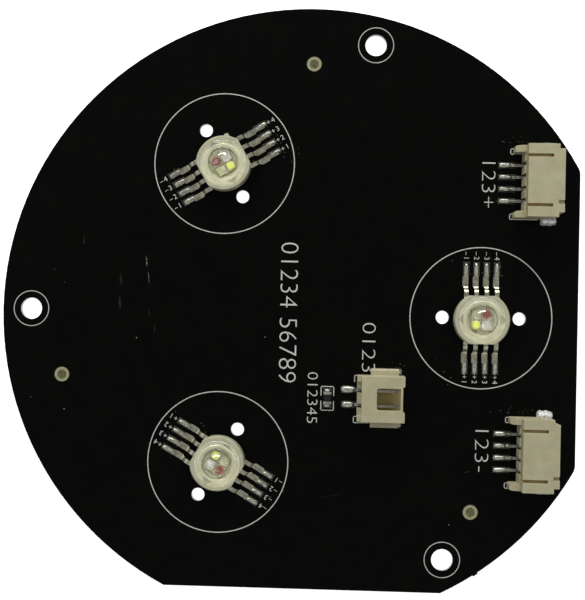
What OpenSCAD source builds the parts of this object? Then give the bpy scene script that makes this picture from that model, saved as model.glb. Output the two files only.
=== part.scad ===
// Round aluminium-core circuit board with three eight-lead colour LEDs, two four-pin headers,
// one two-pin header and a chip thermistor. Millimetres. The origin is the centre of the round
// edge, on the back face. +X points to the straight edge beside the headers, +Z out of the
// component side.

/* [Board] */
// Radius of the round edge
board_r = 51.5; // [51.3:0.1:53]
// Centre to the straight edge beside the headers
flat_right = 45.1; // [45:0.1:46]
// Centre to the straight edge at the bottom
flat_bottom = 46; // [45:0.1:47]
// Radius of the two corners beside the headers
corner_r = 2.5; // [1:0.1:3.5]
// Thickness of the aluminium base
base_t = 0.85; // [0.65:0.1:1.65]
// Thickness of the insulating layer
insulator_t = 0.075; // [0.05:0.005:0.08]
// Thickness of the copper
copper_t = 0.035; // [0.03:0.005:0.05]
// Width of a power track
track_w = 0.85; // [0.5:0.05:0.95]
// Width of a track beside the straight edge
narrow_w = 0.4; // [0.3:0.05:0.45]

/* [Holes] */
// Diameter of a mounting hole, clearance for M3
mount_d = 3.6; // [3.2:0.1:3.8]
// Radius of the circle that the mounting holes lie on
mount_r = 46.7; // [46:0.1:47]
// Diameter of a locating hole for an optic's peg
peg_d = 2.2; // [2:0.1:2.6]
// Distance of a peg hole from the centre of its LED
peg_offset = 6.4; // [6:0.1:7]
// Diameter of a fiducial's opening in the mask
fiducial_d = 2.5; // [2:0.1:3]
// Diameter of a fiducial's dot
fiducial_dot_d = 1.5; // [1:0.1:1.8]

/* [LED package] */
// Radius of the circle that the LEDs lie on
led_r = 29; // [28.8:0.1:29.2]
// Diameter of the moulded body
body_d = 9.1; // [8.8:0.1:9.6]
// Distance between the two flats of the body
body_flats = 8; // [7.6:0.1:8.4]
// Height of the moulded body above the board
body_h = 2.6; // [2.5:0.05:2.8]
// Diameter of the lens dome
dome_d = 5.5; // [5:0.1:5.8]
// Lead pitch
lead_pitch = 1.7; // [1.6:0.05:1.8]
// Width of a lead
lead_w = 0.75; // [0.6:0.05:0.85]
// Width of a lead's shoulder, where it first meets the board
shoulder_w = 1; // [0.9:0.05:1.1]
// LED centre to the tip of a lead
lead_reach = 8.95; // [8.8:0.05:9.1]
// Side of a die
die_side = 0.96; // [0.9:0.02:1]
// Distance between die centres
die_pitch = 1.07; // [1.05:0.01:1.15]

/* [Four-pin headers] */
// Pin pitch
power_pitch = 2; // [1.9:0.05:2.1]
// Height of the housing
power_h = 5.5; // [5.3:0.1:6]
// Width of the housing
power_w = 11.9; // [11.8:0.1:12.2]
// Rear wall of the housing, from the board's centre
power_x = 35.35; // [35.3:0.05:35.5]
// Centre of the header that feeds the plus side
plus_y = 22.65; // [22.5:0.05:22.8]
// Centre of the header that feeds the minus side
minus_y = -22.2; // [-22.4:0.05:-22]

/* [Two-pin header] */
// Pin pitch
sensor_pitch = 2.5; // [2.4:0.05:2.6]
// Height of the housing
sensor_h = 4.3; // [4.2:0.1:4.8]
// Width of the housing between its ears
sensor_w = 7.6; // [7.4:0.1:8]
// Rear wall of the housing, from the board's centre
sensor_x = 9.3; // [9:0.1:9.6]
// Centre of the header
sensor_y = -13.7; // [-13.8:0.05:-13.6]

/* [Thermistor] */
// Length of the chip
chip_l = 2; // [1.9:0.05:2.1]
// Width of the chip
chip_w = 1.25; // [1.2:0.05:1.3]
// Height of the chip
chip_h = 0.65; // [0.5:0.05:0.8]

/* [Silkscreen] */
// Radius of the ring round an LED
led_ring_r = 11.8; // [11.5:0.1:12]
// Radius of the ring round a mounting hole
mount_ring_r = 2.95; // [2.8:0.05:3.1]
// Width of a ring's line
ring_line = 0.22; // [0.18:0.02:0.4]
// Width of an outline's line
outline_line = 0.2; // [0.15:0.05:0.3]

/* [Hidden] */
$fn = 64;

PLUS = -1;
MINUS = 1;
eps = 0.01;

// Heights of the board's layers
z_insulator = base_t;
z_copper = z_insulator + insulator_t;
z_land = z_copper + copper_t;
z_mask = z_land + 0.02;
z_top = z_land + 0.04;
silk_t = 0.015;

// Holes, fiducials and the nub left where the board was broken out of its panel
mount_angles = [76.9, 180, 300];
fiducials = [[0.26, 42.2], [-41.25, -11], [27.9, -32.4]];
nub_angle = -55.9;
nub_w = 0.9;
nub_proud = 0.2;

// LEDs: angle on their circle, and how far each was set off its place by hand
led_angles = [120, 0, 240];
led_slip = [[0, -0.2], [-0.05, -0.3], [0.1, 0]];
colours = 4;

// Heights in the LED package, above the board
body_foot = 0.12;
slug_foot_h = 0.9;
slug_step_h = 1.3;
die_z = 1.55;
die_t = 0.15;
phosphor_t = 0.05;
finger_z = 1.75;
lead_exit_z = 1.2;
recess_depth = 0.1;
lens_seat = 2.45;
lens_foot_h = 2.75;
lens_step_h = 2.95;
slug_r = 3;
neck_r = 2.4;
well_r = 1.65;
ledge_r = 2.3;
cup_r = 2.7;
lens_foot_r = 3.8;
lens_step_r = 3.15;
lead_t = 0.25;
wire_t = 0.06;
wire_foot = 0.06;

// Lands
led_land = [2.25, 1];
led_land_at = 8.225;
slug_land_r = 3.1;
power_land = [2.75, 0.95];
power_land_at = -2.5;
tab_land = [2.6, 1.5];
sensor_land = [2.3, 1];
sensor_land_at = -2.1;
sensor_tab_land = [4.3, 1.1];
chip_at = [3.67, -13.94];
chip_land = [1.4, 0.95];
chip_land_at = 1.17;
mask_gap = 0.05;

// Solder: how far it stays inside a land, and the radius of a bead over a lead
solder_gap = 0.05;
slug_solder_gap = 0.3;
lead_bead_r = 0.47;
power_bead_r = 0.45;
sensor_bead_r = 0.54;

// Levels of the tracks between the LEDs
level_step = 1.7;
level_in = 28.5;
side_x = -22.6;
corridor_x = 42;
corridor_step = 0.75;

function lead_x(i) = (i - (colours - 1) / 2) * lead_pitch;
function led_centre(k) = led_r * [cos(led_angles[k]), sin(led_angles[k])];
function led_point(k, x, y) = led_centre(k)
    + [x * cos(led_angles[k]) - y * sin(led_angles[k]),
       x * sin(led_angles[k]) + y * cos(led_angles[k])];
function pin_y(i) = (i - (colours - 1) / 2) * power_pitch;

// Outline of a strip of width w that follows the points, with mitred bends
function unit(v) = v / norm(v);
function left_of(v) = [-v.y, v.x];
function step_at(p, i) = unit(p[min(i + 1, len(p) - 1)] - p[min(i, len(p) - 2)]);
function mitre(p, i) =
    let (a = left_of(step_at(p, max(i - 1, 0))), b = left_of(step_at(p, i)))
    (a + b) / (1 + a * b);
function ribbon(p, w) = concat(
    [for (i = [0 : len(p) - 1]) p[i] + mitre(p, i) * w / 2],
    [for (i = [len(p) - 1 : -1 : 0]) p[i] - mitre(p, i) * w / 2]);

// Where a line from p at angle a reaches x, or y
function at_x(p, a, x) = [x, p.y + (x - p.x) * tan(a)];
function at_y(p, a, y) = [p.x + (y - p.y) / tan(a), y];

// Power tracks, one per colour: header to LED 1, LED 1 to LED 3, LED 3 to LED 2, LED 2 to header
function feed_track(i) =
    let (p = led_point(0, lead_x(i), PLUS * led_land_at),
         level = level_in + i * level_step,
         pin = plus_y + pin_y(i),
         knee = power_x - 7.05)
    [p, at_y(p, 30, level), [knee - (level - pin), level], [knee, pin],
     [power_x + power_land_at, pin]];
function side_track(i) =
    let (p = led_point(0, lead_x(i), MINUS * led_land_at),
         q = led_point(2, lead_x(i), PLUS * led_land_at),
         x = side_x - i * level_step)
    [p, at_x(p, 210, x), at_x(q, 150, x), q];
function low_track(i) =
    let (p = led_point(2, lead_x(i), MINUS * led_land_at),
         q = led_point(1, lead_x(i), PLUS * led_land_at),
         level = -level_in - i * level_step,
         turn = q.y - 1.9 - 0.4 * i)
    [p, at_y(p, -30, level), [q.x - (turn - level), level], [q.x, turn], q];
bend = 0.8;
function return_level(i) = 10.4 + (colours - 1 - i) * 1.3;
function return_start(i) =
    let (p = led_point(1, lead_x(i), MINUS * led_land_at), level = return_level(i))
    [p, [p.x, level - bend], [p.x + bend, level], [39.5, level]];
function return_end(i) =
    let (x = corridor_x + (colours - 1 - i) * corridor_step,
         level = return_level(i),
         pin = minus_y + pin_y(i))
    [[39.3, level], [x - bend, level], [x, level - bend], [x, pin + bend], [x - bend, pin],
     [power_x + power_land_at, pin]];
function sensor_track(s) =
    let (y = sensor_y + s * sensor_pitch / 2, q = chip_at.y + s * chip_land_at)
    [[sensor_x + sensor_land_at, y], [5.3, y], [5.3 - abs(y - q), q], [chip_at.x, q]];

// Board outline: a disc with two straight edges, two rounded corners and the nub
module outline() {
    corner = [flat_right - corner_r,
              sqrt(pow(board_r - corner_r, 2) - pow(flat_right - corner_r, 2))];
    tangent = atan2(corner.y, corner.x);
    difference() {
        intersection() {
            circle(board_r);
            translate([-board_r - 1, -flat_bottom])
                square([board_r + 1 + flat_right, board_r + 1 + flat_bottom]);
        }
        for (s = [0, 1])
            mirror([0, s])
                difference() {
                    translate(corner)
                        polygon([[0, 0], [2 * corner_r, 0],
                                 2 * corner_r * [cos(tangent), sin(tangent)]]);
                    translate(corner)
                        circle(corner_r);
                }
    }
    rotate(nub_angle)
        translate([board_r - 1, -nub_w / 2])
            square([1 + nub_proud, nub_w]);
}

module holes(grow = 0) {
    for (a = mount_angles)
        rotate(a)
            translate([mount_r, 0])
                circle(d = mount_d + 2 * grow);
    for (a = led_angles, s = [-1, 1])
        rotate(a)
            translate([led_r + s * peg_offset, 0])
                circle(d = peg_d + 2 * grow);
}

module layer(z, t) {
    translate([0, 0, z])
        linear_extrude(t)
            difference() {
                outline();
                holes();
            }
}

module land(at, size, turn = 0, grow = 0) {
    translate(at)
        rotate(turn)
            square([size.x + 2 * grow, size.y + 2 * grow], center = true);
}

module led_lands(k, grow = 0) {
    for (s = [PLUS, MINUS], i = [0 : colours - 1])
        land(led_point(k, lead_x(i), s * led_land_at), led_land, led_angles[k] + 90, grow);
    translate(led_centre(k))
        circle(slug_land_r + grow);
}

module power_lands(y, grow = 0) {
    for (i = [0 : colours - 1])
        land([power_x + power_land_at, y + pin_y(i)], power_land, 0, grow);
    for (s = [-1, 1])
        land([power_x + tab_x, y + s * (power_w / 2 + 0.1)], tab_land, 0, grow);
}

module sensor_lands(grow = 0) {
    for (s = [-1, 1]) {
        land([sensor_x + sensor_land_at, sensor_y + s * sensor_pitch / 2], sensor_land, 0, grow);
        land([sensor_x + sensor_tab_x, sensor_y + s * (sensor_w / 2 + 0.6)], sensor_tab_land,
             0, grow);
    }
}

module chip_lands(grow = 0) {
    for (s = [-1, 1])
        land(chip_at + [0, s * chip_land_at], chip_land, 0, grow);
}

module lands(grow = 0) {
    for (k = [0 : 2])
        led_lands(k, grow);
    power_lands(plus_y, grow);
    power_lands(minus_y, grow);
    sensor_lands(grow);
    chip_lands(grow);
}

module tracks(grow = 0) {
    for (i = [0 : colours - 1]) {
        polygon(ribbon(feed_track(i), track_w + 2 * grow));
        polygon(ribbon(side_track(i), track_w + 2 * grow));
        polygon(ribbon(low_track(i), track_w + 2 * grow));
        polygon(ribbon(return_start(i), track_w + 2 * grow));
        polygon(ribbon(return_end(i), narrow_w + 2 * grow));
    }
    for (s = [-1, 1])
        polygon(ribbon(sensor_track(s), narrow_w + 2 * grow));
}

module base_plate() {
    color("silver")
        layer(0, base_t);
}

module insulator() {
    color([0.62, 0.6, 0.42])
        layer(z_insulator, insulator_t);
}

module copper_solid(z, t) {
    translate([0, 0, z]) {
        linear_extrude(t)
            lands();
        linear_extrude(t)
            tracks();
        for (f = fiducials)
            translate(f)
                cylinder(d = fiducial_dot_d, h = t);
    }
}

module copper() {
    color([0.75, 0.72, 0.65])
        copper_solid(z_copper, copper_t);
}

// Raised bands of the mask over the tracks
module relief() {
    translate([0, 0, z_land])
        linear_extrude(z_top - z_land)
            tracks(mask_gap);
}

module solder_mask() {
    color([0.04, 0.04, 0.04])
        difference() {
            union() {
                layer(z_copper, z_mask - z_copper);
                relief();
            }
            copper_solid(z_copper - eps, copper_t + eps);
            translate([0, 0, z_copper - eps])
                linear_extrude(1) {
                    lands(mask_gap);
                    for (f = fiducials)
                        translate(f)
                            circle(d = fiducial_d);
                }
        }
}

module ring(r) {
    difference() {
        circle(r + ring_line / 2);
        circle(r - ring_line / 2);
    }
}

// Silkscreen line through the points
module drawn(points) {
    polygon(ribbon(points, outline_line));
}

module power_outline() {
    rear = power_x - 2.25;
    side = power_w / 2 + 0.12;
    for (s = [-1, 1])
        drawn([[rear + 0.45, s * (side - 1.3)], [rear, s * (side - 1.3)], [rear, s * side],
               [power_x + 2.7, s * side]]);
}

module sensor_outline() {
    rear = sensor_x - 1.2;
    side = sensor_w / 2 + 0.1;
    for (s = [-1, 1])
        drawn([[rear, s * (side - 1.1)], [rear, s * side], [sensor_x + 1.4, s * side]]);
}

module chip_outline() {
    wide = 1.12;
    long = 2.05;
    gap = 0.5;
    for (s = [-1, 1])
        drawn([[-wide, s * gap], [-wide, s * long], [wide, s * long], [wide, s * gap]]);
}

module silkscreen() {
    color("gainsboro")
        difference() {
            translate([0, 0, z_mask])
                linear_extrude(z_top + silk_t - z_mask) {
                    for (k = [0 : 2])
                        translate(led_centre(k))
                            ring(led_ring_r);
                    for (a = mount_angles)
                        rotate(a)
                            translate([mount_r, 0])
                                ring(mount_ring_r);
                    for (y = [plus_y, minus_y])
                        translate([0, y])
                            power_outline();
                    translate([0, sensor_y])
                        sensor_outline();
                    translate(chip_at)
                        chip_outline();
                }
            relief();
        }
}

// Places an LED's pieces: local x points outward from the board's centre
module at_led(k) {
    translate(concat(led_centre(k) + led_slip[k], z_top))
        rotate(led_angles[k])
            children();
}

// Body: a ring with two flats, stepped inside for the slug and the cup
module led_body(k, gate = false) {
    color([0.86, 0.84, 0.72])
        at_led(k)
            difference() {
                union() {
                    intersection() {
                        rotate_extrude()
                            polygon([[slug_r, body_foot], [body_d / 2, body_foot],
                                     [body_d / 2, body_h - 0.15], [body_d / 2 - 0.15, body_h],
                                     [lens_foot_r + 0.05, body_h],
                                     [lens_foot_r + 0.05, lens_seat], [cup_r, lens_seat],
                                     [ledge_r, finger_z], [well_r, finger_z],
                                     [well_r, slug_step_h], [neck_r, slug_step_h],
                                     [neck_r, slug_foot_h], [slug_r, slug_foot_h]]);
                        translate([-body_d, -body_flats / 2, 0])
                            cube([2 * body_d, body_flats, 4]);
                    }
                    if (gate)
                        rotate(-35)
                            translate([body_d / 2 + 0.05, 0, 1.2])
                                cylinder(r = 0.45, h = 0.7);
                }
                for (s = [0, 1])
                    mirror([s, 0, 0])
                        translate([0, 0, lens_seat - recess_depth])
                            linear_extrude(1)
                                polygon([[2.95, -0.95], [4.05, 0], [2.95, 0.95]]);
                for (s = [PLUS, MINUS])
                    lead_row(s);
            }
}

// One lead, running out along +Y: down inside the body, level, two-facet bend, shoulder, tip
module lead(x) {
    exit_foot = lead_exit_z - lead_t;
    translate([x + lead_w / 2, 0, 0])
        rotate([90, 0, -90])
            linear_extrude(lead_w)
                mirror([1, 0])
                    polygon([[2.9, finger_z - lead_t], [3.2, finger_z - lead_t], [3.6, exit_foot],
                             [4.53, exit_foot], [5.08, 0.36], [5.45, 0], [lead_reach, 0],
                             [lead_reach, lead_t], [5.57, lead_t], [5.2, 0.6],
                             [4.62, lead_exit_z], [3.7, lead_exit_z], [3.3, finger_z],
                             [2.9, finger_z]]);
    translate([x - shoulder_w + lead_w / 2 + 0.03, 5.52, 0])
        cube([shoulder_w, 1.68, lead_t]);
}

// Inner end of a lead, on the ledge round the dies
module finger(x) {
    side = sign(x);
    inner = abs(x) < lead_pitch;
    translate([0, 0, finger_z - lead_t])
        linear_extrude(lead_t)
            polygon(inner
                ? [[x - side * lead_w / 2, 3], [side * 0.35, 1.9], [side * 0.85, 1.9],
                   [x + side * lead_w / 2, 3]]
                : ribbon([[x, 3], [x, 2.6], [side * 1.6, 1.35]], 0.5));
}

module lead_row(s) {
    mirror([0, s == PLUS ? 1 : 0, 0])
        for (i = [0 : colours - 1]) {
            lead(lead_x(i));
            finger(lead_x(i));
        }
}

module led_leads(k, s) {
    color("silver")
        at_led(k)
            lead_row(s);
}

module led_slug(k) {
    color([0.72, 0.45, 0.25])
        at_led(k)
            rotate_extrude()
                polygon([[0, 0], [slug_r, 0], [slug_r, slug_foot_h], [neck_r, slug_foot_h],
                         [neck_r, slug_step_h], [well_r, slug_step_h], [well_r, die_z],
                         [0, die_z]]);
}

// Place of a die, by the signs of its quarter of the well
module at_die(sx, sy) {
    translate([sx * die_pitch / 2, sy * die_pitch / 2, die_z])
        children();
}

module die_block(sx, sy) {
    at_die(sx, sy)
        translate([-die_side / 2, -die_side / 2, 0])
            cube([die_side, die_side, die_t]);
}

module phosphor_block() {
    at_die(-1, -1)
        translate([-0.41, -0.475, die_t])
            cube([0.82, 0.95, phosphor_t]);
}

module led_die(k, sx, sy, tint) {
    color(tint)
        at_led(k)
            die_block(sx, sy);
}

module led_phosphor(k) {
    color([0.8, 0.87, 0.3])
        at_led(k)
            phosphor_block();
}

// Bond wire: an arch from a finger at a to a die at b, seen from above, with a flat foot at each end
module bond_wire(a, b, rise) {
    steps = 6;
    reach = norm(b - a);
    die_top = die_z + die_t;
    arch = [for (i = [0 : steps]) let (t = i / steps)
            [t * reach, finger_z + (die_top - finger_z) * t + 4 * rise * t * (1 - t)]];
    path = concat([[-wire_foot, finger_z]], arch, [[reach + wire_foot, die_top]]);
    translate([a.x, a.y, 0])
        rotate([90, 0, atan2(b.y - a.y, b.x - a.x)])
            translate([0, 0, -wire_t / 2])
                linear_extrude(wire_t)
                    polygon(concat(path, [for (i = [len(path) - 1 : -1 : 0]) path[i] + [0, wire_t]]));
}

module bond_wires() {
    bond_wire([-0.6, -1.96], [-0.115, -0.8], 0.2);
    bond_wire([-0.6, 1.96], [-0.115, -0.35], 0.4);
    bond_wire([0.6, -1.96], [0.4, 0.3], 0.4);
    bond_wire([0.6, 1.96], [0.6, 0.85], 0.2);
    bond_wire([-1.6, -1.35], [-0.8, 0.35], 0.35);
    bond_wire([-1.6, 1.35], [-0.8, 0.8], 0.2);
    bond_wire([1.6, -1.35], [0.8, -0.8], 0.2);
    bond_wire([1.6, 1.35], [0.8, -0.35], 0.35);
}

module led_wires(k) {
    color("gold")
        at_led(k)
            bond_wires();
}

// Lens: a dome on a stepped foot, filling the cup down to the dies
module led_lens(k) {
    color([0.9, 0.92, 0.9, 0.4])
        at_led(k)
            difference() {
                union() {
                    rotate_extrude()
                        polygon([[0, die_z], [well_r, die_z], [well_r, finger_z],
                                 [ledge_r, finger_z], [cup_r, lens_seat],
                                 [lens_foot_r, lens_seat], [lens_foot_r, lens_foot_h],
                                 [lens_step_r, lens_foot_h], [lens_step_r, lens_step_h],
                                 [0, lens_step_h]]);
                    intersection() {
                        translate([0, 0, lens_seat])
                            sphere(d = dome_d);
                        translate([-dome_d, -dome_d, lens_seat])
                            cube([2 * dome_d, 2 * dome_d, dome_d]);
                    }
                }
                for (sx = [-1, 1], sy = [-1, 1])
                    die_block(sx, sy);
                phosphor_block();
                bond_wires();
            }
}

// Solder joint: a half-round bead with bevelled ends along +X, between its two end points
module bead(x1, x2, r) {
    taper = 0.55 * r;
    intersection() {
        rotate([0, 90, 0])
            rotate_extrude()
                polygon([[0, x1], [r - taper, x1], [r, x1 + taper], [r, x2 - taper],
                         [r - taper, x2], [0, x2]]);
        translate([x1 - 1, -2 * r, 0])
            cube([x2 - x1 + 2, 4 * r, 2 * r]);
    }
}

// Thin layer of solder between a land and what stands on it
module film(size) {
    translate([-size.x / 2, -size.y / 2, z_land - z_top])
        cube([size.x, size.y, z_top - z_land]);
}

module led_solder(k) {
    color([0.7, 0.7, 0.68])
        difference() {
            union() {
                for (s = [PLUS, MINUS], i = [0 : colours - 1])
                    translate(concat(led_point(k, lead_x(i), s * led_land_at), z_top))
                        rotate(led_angles[k] + s * 90)
                            film(led_land - [2, 2] * solder_gap);
                at_led(k)
                    for (s = [PLUS, MINUS], i = [0 : colours - 1])
                        translate([lead_x(i), s * led_land_at, 0])
                            rotate(90)
                                bead(-1.02, 0.98, lead_bead_r);
                translate(concat(led_centre(k), z_land))
                    cylinder(r = slug_land_r - slug_solder_gap, h = z_top - z_land);
            }
            at_led(k)
                for (s = [PLUS, MINUS])
                    lead_row(s);
        }
}

// Four-pin header, in its own frame: x = 0 is the rear wall, z = 0 the board
power_depth = 5.25;
power_rim = 6.15;
power_rim_w = 10.36;
power_cavity_w = 8.9;
power_floor = 0.8;
power_back = 1.25;
power_plinth = 3.1;
power_setback = 0.2;
pin_side = 0.5;
slot_w = 0.8;
tail_t = 0.22;
leg_x = 0.35;
leg_t = 0.3;
tail_reach = 3.75;
arm_w = 1.1;
arm_reach = 2.15;
arm_taper = 0.35;
key_depth = 0.5;
tab_x = 4.5;
tab_t = 0.2;
tab_in = 5.35;

// One rear arm, as a plan and a side view that are cut with each other
module power_arm() {
    side = power_w / 2;
    intersection() {
        linear_extrude(power_plinth + 1)
            polygon([[0.5, side - arm_w], [1 - arm_reach, side - arm_w],
                     [-arm_reach, side - arm_w + arm_taper], [-arm_reach, side - arm_taper],
                     [0.9 - arm_reach, side], [0.5, side]]);
        translate([0, side + 1, 0])
            rotate([90, 0, 0])
                linear_extrude(3)
                    polygon([[-arm_reach, 0], [0.5, 0], [0.5, 3.4], [-0.5, 3.4],
                             [0.6 - arm_reach, 2.5], [-arm_reach, 1.2]]);
    }
}

module power_housing() {
    side = power_w / 2;
    roof = power_h - power_floor;
    difference() {
        union() {
            linear_extrude(power_h)
                polygon([[power_setback, -side], [power_depth, -side],
                         [power_depth, -power_rim_w / 2], [power_rim, -power_rim_w / 2],
                         [power_rim, power_rim_w / 2], [power_depth, power_rim_w / 2],
                         [power_depth, side], [power_setback, side]]);
            translate([0, -side, 0])
                cube([power_setback + 0.5, power_w, power_plinth]);
            for (s = [0, 1])
                mirror([0, s, 0])
                    power_arm();
        }
        for (s = [0, 1])
            mirror([0, s, 0])
                translate([-1, side / 1.47 - 0.2, roof - 0.4])
                    cube([5.2, 0.4, 2]);
        translate([power_back, -power_cavity_w / 2, power_floor])
            cube([6, power_cavity_w, roof - power_floor]);
        translate([power_depth - 0.1, -3.8, power_h - key_depth])
            cube([2, 0.6, 3]);
        translate([power_rim - 0.35, -3.8, roof - 1])
            cube([2, 0.6, 3]);
        for (i = [0 : colours - 1])
            translate([-1, pin_y(i) - slot_w / 2, -1])
                cube([1 + leg_x + leg_t, slot_w, 1 + power_plinth - 0.2]);
        power_contacts();
        power_tabs();
    }
}

module power_contacts() {
    pin_z = power_h / 2;
    for (i = [0 : colours - 1])
        translate([0, pin_y(i) + pin_side / 2, 0])
            rotate([90, 0, 0])
                linear_extrude(pin_side)
                    polygon([[-tail_reach, 0], [leg_x + leg_t, 0],
                             [leg_x + leg_t, pin_z - pin_side / 2],
                             [power_depth - 0.2, pin_z - pin_side / 2],
                             [power_depth, pin_z - 0.1], [power_depth, pin_z + 0.1],
                             [power_depth - 0.2, pin_z + pin_side / 2],
                             [leg_x, pin_z + pin_side / 2], [leg_x, tail_t],
                             [-tail_reach, tail_t]]);
}

module power_tabs() {
    for (s = [0, 1])
        mirror([0, s, 0]) {
            translate([tab_x - 0.8, tab_in, 0])
                cube([1.4, tab_t, 3.2]);
            translate([tab_x - 1.1, tab_in, 0])
                cube([2.2, power_w / 2 + 0.9 - tab_in, tab_t]);
        }
}

module power_solder() {
    difference() {
        union() {
            for (i = [0 : colours - 1])
                translate([power_land_at, pin_y(i), 0]) {
                    film(power_land - [2, 2] * solder_gap);
                    bead(-1.25, 1.25, power_bead_r);
                }
            for (s = [0, 1])
                mirror([0, s, 0]) {
                    translate([tab_x, power_w / 2 + 0.1, 0])
                        film(tab_land - [2, 2] * solder_gap);
                    intersection() {
                        for (x = [-0.45, 0.45])
                            translate([tab_x + x, power_w / 2 + 0.05, -0.2])
                                sphere(0.85);
                        translate([tab_x - 3, power_w / 2, 0])
                            cube([6, 2, 2]);
                    }
                }
        }
        power_contacts();
        power_tabs();
    }
}

// Two-pin header, in its own frame: x = 0 is the rear wall, z = 0 the board
sensor_depth = 7.1;
sensor_lip = 6.78;
sensor_roof = 3.6;
sensor_floor = 0.7;
sensor_cavity_w = 6;
sensor_back = 1.3;
window = [2.5, 6.4];
window_w = 3.58;
window_r = 0.5;
ear = [1.55, 6.2];
ear_w = 1.1;
ear_h = 1.5;
ledge_reach = 0.7;
sensor_tail_reach = 3.15;
sensor_tab_x = 4.4;

module sensor_window() {
    translate([window[0] + window_r, -window_w / 2])
        square([window[1] - window[0] - window_r, window_w]);
    translate([window[0], -window_w / 2 + window_r])
        square([window[1] - window[0], window_w - 2 * window_r]);
    for (s = [-1, 1])
        translate([window[0] + window_r, s * (window_w / 2 - window_r)])
            circle(window_r);
}

module sensor_housing() {
    side = sensor_w / 2;
    difference() {
        union() {
            linear_extrude(sensor_h)
                polygon([[0, -side], [sensor_depth, -side], [sensor_depth, -2.15],
                         [sensor_lip, -1.92], [sensor_lip, 1.92], [sensor_depth, 2.15],
                         [sensor_depth, side], [0, side]]);
            translate([ear[0], 0, 0])
                rotate([90, 0, 90])
                    linear_extrude(ear[1] - ear[0])
                        polygon([[-side - ear_w, 0], [side + ear_w, 0],
                                 [side + ear_w, ear_h - 0.25], [side + ear_w - 0.25, ear_h],
                                 [-side - ear_w + 0.25, ear_h], [-side - ear_w, ear_h - 0.25]]);
            translate([0, side, 0])
                rotate([90, 0, 0])
                    linear_extrude(sensor_w)
                        polygon([[-ledge_reach, 0], [0.1, 0], [0.1, 2.6], [0, 2.6],
                                 [-ledge_reach, 1.7]]);
            for (s = [0, 1])
                mirror([0, s, 0])
                    translate([-ledge_reach, side - 1, 0])
                        cube([1, 1, 3.3]);
        }
        translate([sensor_back, -sensor_cavity_w / 2, sensor_floor])
            cube([8, sensor_cavity_w, sensor_roof - sensor_floor]);
        translate([0, 0, sensor_roof - 0.2])
            linear_extrude(2)
                sensor_window();
        for (s = [-1, 1])
            translate([-1, s * sensor_pitch / 2 - 0.35, -1])
                cube([1 + leg_x + leg_t, 0.7, 3.8]);
        sensor_contacts();
        sensor_tabs();
    }
}

module sensor_contacts() {
    pin_z = 2.15;
    tip = 6.35;
    for (s = [-1, 1])
        translate([0, s * sensor_pitch / 2 + pin_side / 2, 0])
            rotate([90, 0, 0])
                linear_extrude(pin_side)
                    polygon([[-sensor_tail_reach, 0], [leg_x + leg_t, 0],
                             [leg_x + leg_t, pin_z - pin_side / 2],
                             [tip - 0.3, pin_z - pin_side / 2], [tip, pin_z - 0.1],
                             [tip, pin_z + 0.1], [tip - 0.3, pin_z + pin_side / 2],
                             [leg_x, pin_z + pin_side / 2], [leg_x, tail_t],
                             [-sensor_tail_reach, tail_t]]);
}

module sensor_tabs() {
    for (s = [0, 1])
        mirror([0, s, 0]) {
            translate([2.3, sensor_w / 2 + 0.15, 0])
                cube([4.4, 0.8, tab_t]);
            translate([2.3, sensor_w / 2 - 0.35, 0])
                cube([2, tab_t, 1.2]);
            translate([2.3, sensor_w / 2 - 0.35, 0])
                cube([2, 0.6, tab_t]);
        }
}

module sensor_solder() {
    difference() {
        union() {
            for (s = [-1, 1])
                translate([sensor_land_at, s * sensor_pitch / 2, 0]) {
                    film(sensor_land - [2, 2] * solder_gap);
                    bead(-1.06, 1.06, sensor_bead_r);
                }
            for (s = [0, 1])
                mirror([0, s, 0]) {
                    translate([sensor_tab_x, sensor_w / 2 + 0.6, 0])
                        film(sensor_tab_land - [2, 2] * solder_gap);
                    intersection() {
                        translate([ear[1], sensor_w / 2 + 0.5, -0.15])
                            sphere(0.6);
                        translate([ear[1], sensor_w / 2, 0])
                            cube([2, 2, 2]);
                    }
                }
        }
        sensor_contacts();
        sensor_tabs();
    }
}

module at_header(x, y) {
    translate([x, y, z_top])
        children();
}

// Thermistor, in its own frame: y runs along the chip
cap_l = 0.4;
cap_t = 0.03;

module chip_body() {
    translate([-chip_w / 2, -chip_l / 2 + cap_t, cap_t])
        cube([chip_w, chip_l - 2 * cap_t, chip_h - 2 * cap_t]);
}

module chip_caps() {
    difference() {
        for (s = [0, 1])
            mirror([0, s, 0])
                translate([-chip_w / 2 - cap_t, chip_l / 2 - cap_l, 0])
                    cube([chip_w + 2 * cap_t, cap_l, chip_h]);
        chip_body();
    }
}

// Solder on the chip's lands: a bevelled fillet up each end cap
module chip_solder() {
    for (s = [0, 1])
        mirror([0, s, 0]) {
            translate([0, chip_land_at, 0])
                film(chip_land - [2, 2] * solder_gap);
            translate([-0.6, 0, 0])
                rotate([90, 0, 90])
                    linear_extrude(1.2)
                        polygon([[chip_l / 2, 0], [chip_l / 2 + 0.65, 0],
                                 [chip_l / 2 + 0.25, 0.18], [chip_l / 2, 0.5]]);
        }
}

module at_chip() {
    translate(concat(chip_at, z_top))
        children();
}

module cream() {
    color([0.74, 0.71, 0.57])
        children();
}

module tin() {
    color([0.7, 0.7, 0.68])
        children();
}

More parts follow.
